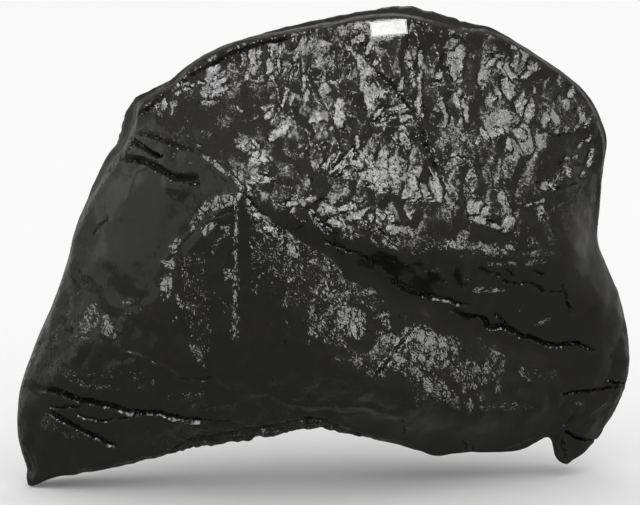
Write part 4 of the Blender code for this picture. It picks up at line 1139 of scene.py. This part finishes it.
def far_crumple(x, z, s, d_hem, sheet):
    wx = 12 * facets(x, z, 85, 101) + 5 * facets(x, z, 33, 102)
    wz = 12 * facets(x, z, 85, 103) + 5 * facets(x, z, 33, 104)
    X, Z = x + wx, z + wz
    upper = ramp(z, -620, -430)
    patchy = 0.35 + 0.65 * ramp(smooth(x, z, 60, 121), -0.35, 0.35)
    big = facets(X, Z, 68, 105) + 0.5 * facets(X, Z, 41, 115, 0.7, 1.6)
    mid = facets(X, Z, 25, 106) + 0.7 * facets(X, Z, 19, 107, 0.5)
    fine = facets(X, Z, 10.5, 109) + 0.6 * facets(X, Z, 6.5, 110, 0.9)
    upright = zigzag(X + 15 * facets(X, Z, 62, 131) + 7 * facets(X, Z, 27, 132), 47)
    rough = 4.2 * big + 0.3 * upright * upper + 1.8 * mid * patchy + 1.15 * fine * patchy
    return rough * (0.16 + 0.84 * ramp(s, 25, 95))


# ---------------------------------------------------------------- the label
def label_piece(name, film):
    """A small woven label that lies on the near panel: a closed sheet with its edges turned under
    and a row of stitches all round. Its corners lift a little."""
    tree = BVHTree.FromPolygons([tuple(v.co) for v in film.data.vertices], [tuple(p.vertices) for p in film.data.polygons])
    width, height = LABEL_SIZE
    c, s = math.cos(LABEL_TURN), math.sin(LABEL_TURN)
    nu, nv = 33, 15

    def place(u, v):
        return LABEL_AT[0] + u * c - v * s, LABEL_AT[1] + u * s + v * c

    u, v = np.meshgrid(np.linspace(-width / 2, width / 2, nu), np.linspace(-height / 2, height / 2, nv), indexing="ij")
    px, pz = place(u, v)
    film_y = np.array([
        tree.ray_cast(Vector((a * MM, -1, b * MM)), Vector((0, 1, 0)))[0].y / MM for a, b in zip(px.ravel(), pz.ravel())
    ])

    def terms(u, v):
        a, b = u.ravel() / width, v.ravel() / height
        return np.column_stack([a**0, a, b, a * a, a * b, b * b, a**3, b**3, a * a * b, a * b * b])

    fit = np.linalg.lstsq(terms(u, v), film_y, rcond=None)[0]
    clear = (terms(u, v) @ fit - film_y).max() + 0.5

    def front(u, v):
        """The depth of the label's front face."""
        far = np.hypot(u.ravel() / (width / 2), v.ravel() / (height / 2))
        waves = 0.18 * np.sin(u.ravel() / 6.1 + v.ravel() / 9.0)
        return terms(u, v) @ fit - clear - 0.9 * ramp(far, 1.05, 1.42) + waves

    y = front(u, v).reshape(u.shape)
    rounding = np.minimum(width / 2 - np.abs(u), height / 2 - np.abs(v))
    y = y + 0.35 * (1 - np.clip(rounding / 1.6, 0, 1)) ** 2
    face = np.column_stack([px.ravel(), y.ravel(), pz.ravel()])
    back = face + np.array([0, 0.45, 0])
    at = lambda i, j: i * nv + j
    n = nu * nv
    faces = []
    for i in range(nu - 1):
        for j in range(nv - 1):
            q = (at(i, j), at(i + 1, j), at(i + 1, j + 1), at(i, j + 1))
            faces += [q, tuple(n + k for k in reversed(q))]
    rim = [at(i, 0) for i in range(nu)] + [at(nu - 1, j) for j in range(1, nv)]
    rim += [at(i, nv - 1) for i in range(nu - 2, -1, -1)] + [at(0, j) for j in range(nv - 2, 0, -1)]
    for a, b in zip(rim, rim[1:] + rim[:1]):
        faces.append((a, n + a, n + b, b))
    points = [face, back]
    total = 2 * n
    # Stitches: short rounded bars, a little proud of the face.
    inset, pitch, long, thick = 1.7, 3.1, 2.6, 0.9
    rows = []
    for side, length in (((0, -1), width), ((0, 1), width), ((-1, 0), height), ((1, 0), height)):
        count = int((length - 2 * inset) / pitch)
        for k in range(count + 1):
            t = (k - count / 2) * pitch
            if side[0] == 0:
                rows.append((t, side[1] * (height / 2 - inset), 1, 0))
            elif abs(t) < height / 2 - inset - 1.5:
                rows.append((side[0] * (width / 2 - inset), t, 0, 1))
    for su, sv, du, dv in rows:
        ring = []
        for step, fat in ((-0.5, 0.35), (-0.3, 1.0), (0.3, 1.0), (0.5, 0.35)):
            for turn in range(6):
                a = 2 * math.pi * turn / 6
                off = 0.5 * thick * fat * math.cos(a)
                uu, vv = su + du * step * long + dv * off, sv + dv * step * long + du * off
                yy = front(np.array([uu]), np.array([vv]))[0] - 0.12 - 0.5 * thick * fat * math.sin(a) * 0.7
                qx, qz = place(uu, vv)
                ring.append((qx, yy, qz))
        points.append(np.array(ring))
        quads = [(6 * r + k, 6 * r + (k + 1) % 6, 6 * r + 6 + (k + 1) % 6, 6 * r + 6 + k) for r in range(3) for k in range(6)]
        quads += [tuple(reversed(range(6))), tuple(range(18, 24))]
        faces += [tuple(total + k for k in q) for q in quads]
        total += 24
    mesh = bpy.data.meshes.new(name)
    mesh.from_pydata((np.concatenate(points) * MM).tolist(), [], faces)
    mesh.update()
    bm = bmesh.new()
    bm.from_mesh(mesh)
    bmesh.ops.recalc_face_normals(bm, faces=bm.faces)
    bmesh.ops.triangulate(bm, faces=bm.faces)
    bm.to_mesh(mesh)
    bm.free()
    thread = (np.arange(total) >= 2 * n).astype(np.float32)
    mesh.attributes.new("thread", "FLOAT", "POINT").data.foreach_set("value", thread)
    mesh.shade_smooth()
    mesh.set_sharp_from_angle(angle=math.radians(40))
    obj = bpy.data.objects.new(name, mesh)
    bpy.context.scene.collection.objects.link(obj)
    return obj


def label_material():
    """White satin ribbon: a fine twill weave, very slightly uneven in colour, sewn round with stitches coloured near
    black, which draw a thin dark line round its edge.
    """
    m = bpy.data.materials.new("white_label")
    m.use_nodes = True
    nodes, links = m.node_tree.nodes, m.node_tree.links
    shader = nodes["Principled BSDF"]
    shader.inputs["Roughness"].default_value = 0.5
    place = nodes.new("ShaderNodeTexCoord").outputs["Object"]
    uneven = nodes.new("ShaderNodeTexNoise")
    uneven.inputs["Scale"].default_value = 140
    uneven.inputs["Detail"].default_value = 4
    links.new(place, uneven.inputs["Vector"])
    shade = nodes.new("ShaderNodeValToRGB")
    shade.color_ramp.elements[0].position, shade.color_ramp.elements[1].position = 0.3, 0.7
    shade.color_ramp.elements[0].color = (0.36, 0.36, 0.35, 1)
    shade.color_ramp.elements[1].color = (0.46, 0.46, 0.45, 1)
    links.new(uneven.outputs["Fac"], shade.inputs["Fac"])
    thread = nodes.new("ShaderNodeAttribute")
    thread.attribute_name = "thread"
    sewn = nodes.new("ShaderNodeMix")
    sewn.data_type = "RGBA"
    links.new(thread.outputs["Fac"], sewn.inputs["Factor"])
    links.new(shade.outputs["Color"], sewn.inputs["A"])
    # The stitches are coloured near black: they draw a thin dark line round the label's edge.
    sewn.inputs["B"].default_value = (0.03, 0.03, 0.029, 1)
    links.new(sewn.outputs["Result"], shader.inputs["Base Color"])
    twill = nodes.new("ShaderNodeTexWave")
    twill.bands_direction = "DIAGONAL"
    twill.inputs["Scale"].default_value = 420
    twill.inputs["Distortion"].default_value = 0.6
    links.new(place, twill.inputs["Vector"])
    bump = nodes.new("ShaderNodeBump")
    bump.inputs["Strength"].default_value = 0.35
    bump.inputs["Distance"].default_value = 0.0002
    links.new(twill.outputs["Fac"], bump.inputs["Height"])
    links.new(bump.outputs["Normal"], shader.inputs["Normal"])
    return m


# ---------------------------------------------------------------- finish of the film
def film_material():
    """Glossy black film. Its finest crinkle is a tilt of the surface, cell by cell: `crushed`
    says how strong, `facing` how many of the cells lie along `lean`, as pressed flats do."""
    m = bpy.data.materials.new("black_film")
    m.use_nodes = True
    nodes, links = m.node_tree.nodes, m.node_tree.links
    shader = nodes["Principled BSDF"]
    shader.inputs["Base Color"].default_value = (0.0054, 0.0052, 0.0045, 1)
    shader.inputs["Roughness"].default_value = 0.17
    shader.inputs["IOR"].default_value = 1.5

    def vector(operation, a, b=None):
        node = nodes.new("ShaderNodeVectorMath")
        node.operation = operation
        for socket, value in zip(node.inputs, (a, b)):
            if isinstance(value, tuple):
                socket.default_value = value
            elif value is not None:
                links.new(value, socket)
        return node.outputs["Vector"]

    def scaled(a, factor):
        node = nodes.new("ShaderNodeVectorMath")
        node.operation = "SCALE"
        links.new(a, node.inputs[0])
        if isinstance(factor, float):
            node.inputs["Scale"].default_value = factor
        else:
            links.new(factor, node.inputs["Scale"])
        return node.outputs["Vector"]

    def number(operation, a, b=0.0):
        node = nodes.new("ShaderNodeMath")
        node.operation = operation
        for socket, value in zip(node.inputs, (a, b)):
            if isinstance(value, float):
                socket.default_value = value
            else:
                links.new(value, socket)
        return node.outputs[0]

    def cells(at, scale, feature="F1"):
        node = nodes.new("ShaderNodeTexVoronoi")
        node.feature = feature
        node.inputs["Scale"].default_value = scale
        links.new(at, node.inputs["Vector"])
        return node

    def noise(at, scale):
        node = nodes.new("ShaderNodeTexNoise")
        node.inputs["Scale"].default_value = scale
        links.new(at, node.inputs["Vector"])
        return node.outputs["Color"]

    def contour(at, scale, breadth=0.014):
        """Thin winding lines."""
        node = nodes.new("ShaderNodeTexNoise")
        node.inputs["Scale"].default_value = scale
        node.inputs["Detail"].default_value = 2
        links.new(at, node.inputs["Vector"])
        gap = number("ABSOLUTE", number("SUBTRACT", node.outputs["Fac"], 0.5))
        line = number("MULTIPLY", number("SUBTRACT", breadth, gap), 110.0)
        line.node.use_clamp = True
        return line

    def tilt(colour, strength):
        return scaled(vector("SUBTRACT", colour, (0.5, 0.5, 0.5)), strength)

    def value(name, kind="Fac"):
        node = nodes.new("ShaderNodeAttribute")
        node.attribute_name = name
        return node.outputs[kind]

    place = nodes.new("ShaderNodeTexCoord").outputs["Object"]
    bent = vector("ADD", place, tilt(noise(place, 60.0), 0.010))
    upright = nodes.new("ShaderNodeMapping")
    upright.inputs["Scale"].default_value = (1.0, 1.0, 0.38)
    links.new(bent, upright.inputs["Vector"])
    crinkle = vector("ADD", tilt(cells(bent, 220.0).outputs["Color"], 0.24), tilt(cells(upright.outputs["Vector"], 420.0).outputs["Color"], 0.34))
    crinkle = scaled(vector("ADD", crinkle, tilt(noise(place, 520.0), 0.32)), value("crushed"))

    # Fine creases that wander over it, each falling to one side or the other.
    line = number("MAXIMUM", contour(upright.outputs["Vector"], 52.0), contour(vector("ADD", bent, (3.1, 1.7, 4.3)), 34.0))
    fold = number("MAXIMUM", contour(vector("ADD", upright.outputs["Vector"], (1.3, 5.1, 2.9)), 40.0, 0.024), contour(vector("ADD", bent, (7.3, 2.1, 6.7)), 26.0, 0.020))
    creases = scaled(tilt(noise(place, 38.0), 2.6), number("MULTIPLY", line, value("creased")))

    # Streaks of the film that lie along `lean`.
    stretched = nodes.new("ShaderNodeMapping")
    stretched.inputs["Scale"].default_value = (0.34, 1.0, 1.0)
    links.new(value("streaks", "Vector"), stretched.inputs["Vector"])
    fibres = nodes.new("ShaderNodeTexNoise")
    fibres.inputs["Scale"].default_value = 370
    fibres.inputs["Detail"].default_value = 3
    fibres.inputs["Roughness"].default_value = 0.6
    links.new(vector("ADD", stretched.outputs["Vector"], tilt(noise(place, 90.0), 0.006)), fibres.inputs["Vector"])
    lot = nodes.new("ShaderNodeSeparateXYZ")
    links.new(cells(bent, 62.0).outputs["Color"], lot.inputs["Vector"])
    filled = number("MULTIPLY", value("facing"), number("ADD", number("MULTIPLY", lot.outputs["X"], 0.26), 0.34))
    faces = number("MULTIPLY", number("SUBTRACT", number("ADD", fibres.outputs["Fac"], filled), 0.74), 18.0)
    faces.node.use_clamp = True
    share = number("MULTIPLY", number("MULTIPLY", faces, 0.85), number("SUBTRACT", 1.0, number("MAXIMUM", line, fold)))
    facing = scaled(value("lean", "Vector"), share)

    surface = scaled(nodes.new("ShaderNodeNewGeometry").outputs["Normal"], number("SUBTRACT", 1.0, share))
    crinkle = scaled(crinkle, number("SUBTRACT", 1.0, number("MULTIPLY", share, 0.9)))
    turned = vector("ADD", vector("ADD", surface, crinkle), vector("ADD", creases, facing))
    links.new(vector("NORMALIZE", turned), shader.inputs["Normal"])
    return m


film = film_material()
near = panel("near_film", -1, NEAR_DEPTHS, near_crumple, near_finest, near_plain, 3.55, 5.4, 5)
far = panel("far_film", 1, FAR_DEPTHS, far_crumple, far_finest, far_calm, 4.2, 5.2, 6)
for piece, node in ((near, "near_panel"), (far, "far_panel")):
    piece.data.materials.append(film)
    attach(piece, "root")
    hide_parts(node)
label = label_piece("sewn_label", near)
label.data.materials.append(label_material())
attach(label, "root")
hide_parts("label")

# ---------------------------------------------------------------- stage, light and camera
scene = bpy.context.scene
FLOOR_Z = -1.052


def floor():
    mesh = bpy.data.meshes.new("floor")
    ring = [(60 * math.cos(a), 60 * math.sin(a), FLOOR_Z) for a in np.linspace(0, 2 * math.pi, 64, endpoint=False)]
    mesh.from_pydata(ring, [], [tuple(range(64))])
    obj = bpy.data.objects.new("floor", mesh)
    scene.collection.objects.link(obj)
    m = bpy.data.materials.new("pale_floor")
    m.use_nodes = True
    shader = m.node_tree.nodes["Principled BSDF"]
    shader.inputs["Base Color"].default_value = (0.97, 0.97, 0.97, 1)
    shader.inputs["Roughness"].default_value = 0.9
    shader.inputs["Specular IOR Level"].default_value = 0.1
    mesh.materials.append(m)
    obj.visible_glossy = False
    return obj


floor()
lit = bpy.data.collections.new("lit_by_lamps")
for obj in (near, far, label):
    lit.objects.link(obj)
behind = bpy.data.collections.new("lit_from_behind")
behind.objects.link(far)


def softbox(name, azimuth, elevation, distance, width, height, radiance, lit=lit):
    """A soft rectangular lamp that lights the film alone."""
    axis = Vector(away(azimuth, elevation))
    lamp = bpy.data.lights.new(name, "AREA")
    lamp.shape = "RECTANGLE"
    lamp.size, lamp.size_y = width, height
    lamp.energy = radiance * math.pi * width * height
    obj = bpy.data.objects.new(name, lamp)
    obj.location = Vector(CENTRE) + axis * distance
    obj.rotation_euler = axis.to_track_quat("Z", "Y").to_euler()
    obj.visible_camera = False
    scene.collection.objects.link(obj)
    obj.light_linking.receiver_collection = lit
    return obj


softbox("key", KEY["azimuth"], KEY["elevation"], KEY["distance"], 2.3, 2.3, 5.9)
softbox("key_core", KEY["azimuth"], KEY["elevation"], 0.99 * KEY["distance"], 0.8, 0.8, 8.5)
softbox("rear", 180, 62, 3.0, 2.4, 1.2, 1.3, behind)
softbox("key_halo", KEY["azimuth"], KEY["elevation"], 1.01 * KEY["distance"], 3.8, 3.4, 0.22)
softbox("left_fill", -82, 24, 3.0, 2.8, 2.6, 0.36)
softbox("left_rim", -124, 14, 3.0, 2.2, 2.4, 0.4)
softbox("right_rim", 114, 14, 3.0, 2.2, 2.4, 0.15)

world = bpy.data.worlds.new("studio")
scene.world = world
world.use_nodes = True
nodes, links = world.node_tree.nodes, world.node_tree.links
background = nodes["Background"]
rays = nodes.new("ShaderNodeLightPath")
place = nodes.new("ShaderNodeTexCoord")
split = nodes.new("ShaderNodeSeparateXYZ")
links.new(place.outputs["Generated"], split.inputs["Vector"])
fade = nodes.new("ShaderNodeValToRGB")
fade.color_ramp.elements[0].position = 0.30
fade.color_ramp.elements[0].color = (0.25, 0.247, 0.232, 1)
fade.color_ramp.elements[1].position = 0.56
fade.color_ramp.elements[1].color = (0.30, 0.295, 0.275, 1)
level = nodes.new("ShaderNodeMath")
level.operation = "MULTIPLY_ADD"
level.inputs[1].default_value = 0.5
level.inputs[2].default_value = 0.5
links.new(split.outputs["Z"], level.inputs[0])
links.new(level.outputs[0], fade.inputs["Fac"])
mix = nodes.new("ShaderNodeMix")
mix.data_type = "RGBA"
links.new(rays.outputs["Is Glossy Ray"], mix.inputs["Factor"])
mix.inputs["A"].default_value = (1, 1, 1, 1)
links.new(fade.outputs["Color"], mix.inputs["B"])
links.new(mix.outputs["Result"], background.inputs["Color"])
background.inputs["Strength"].default_value = 1.0

scene.view_settings.view_transform = "Standard"
scene.view_settings.look = "None"

back = Vector(away(-6, 9))
right = Vector((math.cos(math.radians(-6)), math.sin(math.radians(-6)), 0))
up = back.cross(right)
camera = bpy.data.objects.new("camera", bpy.data.cameras.new("camera"))
camera.data.lens = 125.0
camera.data.sensor_width = 36.0
camera.data.clip_end = 200
rotation = Matrix((right, up, back)).transposed().to_4x4()
camera.matrix_world = Matrix.Translation(Vector(VIEWPOINT * MM)) @ rotation
scene.collection.objects.link(camera)
scene.camera = camera
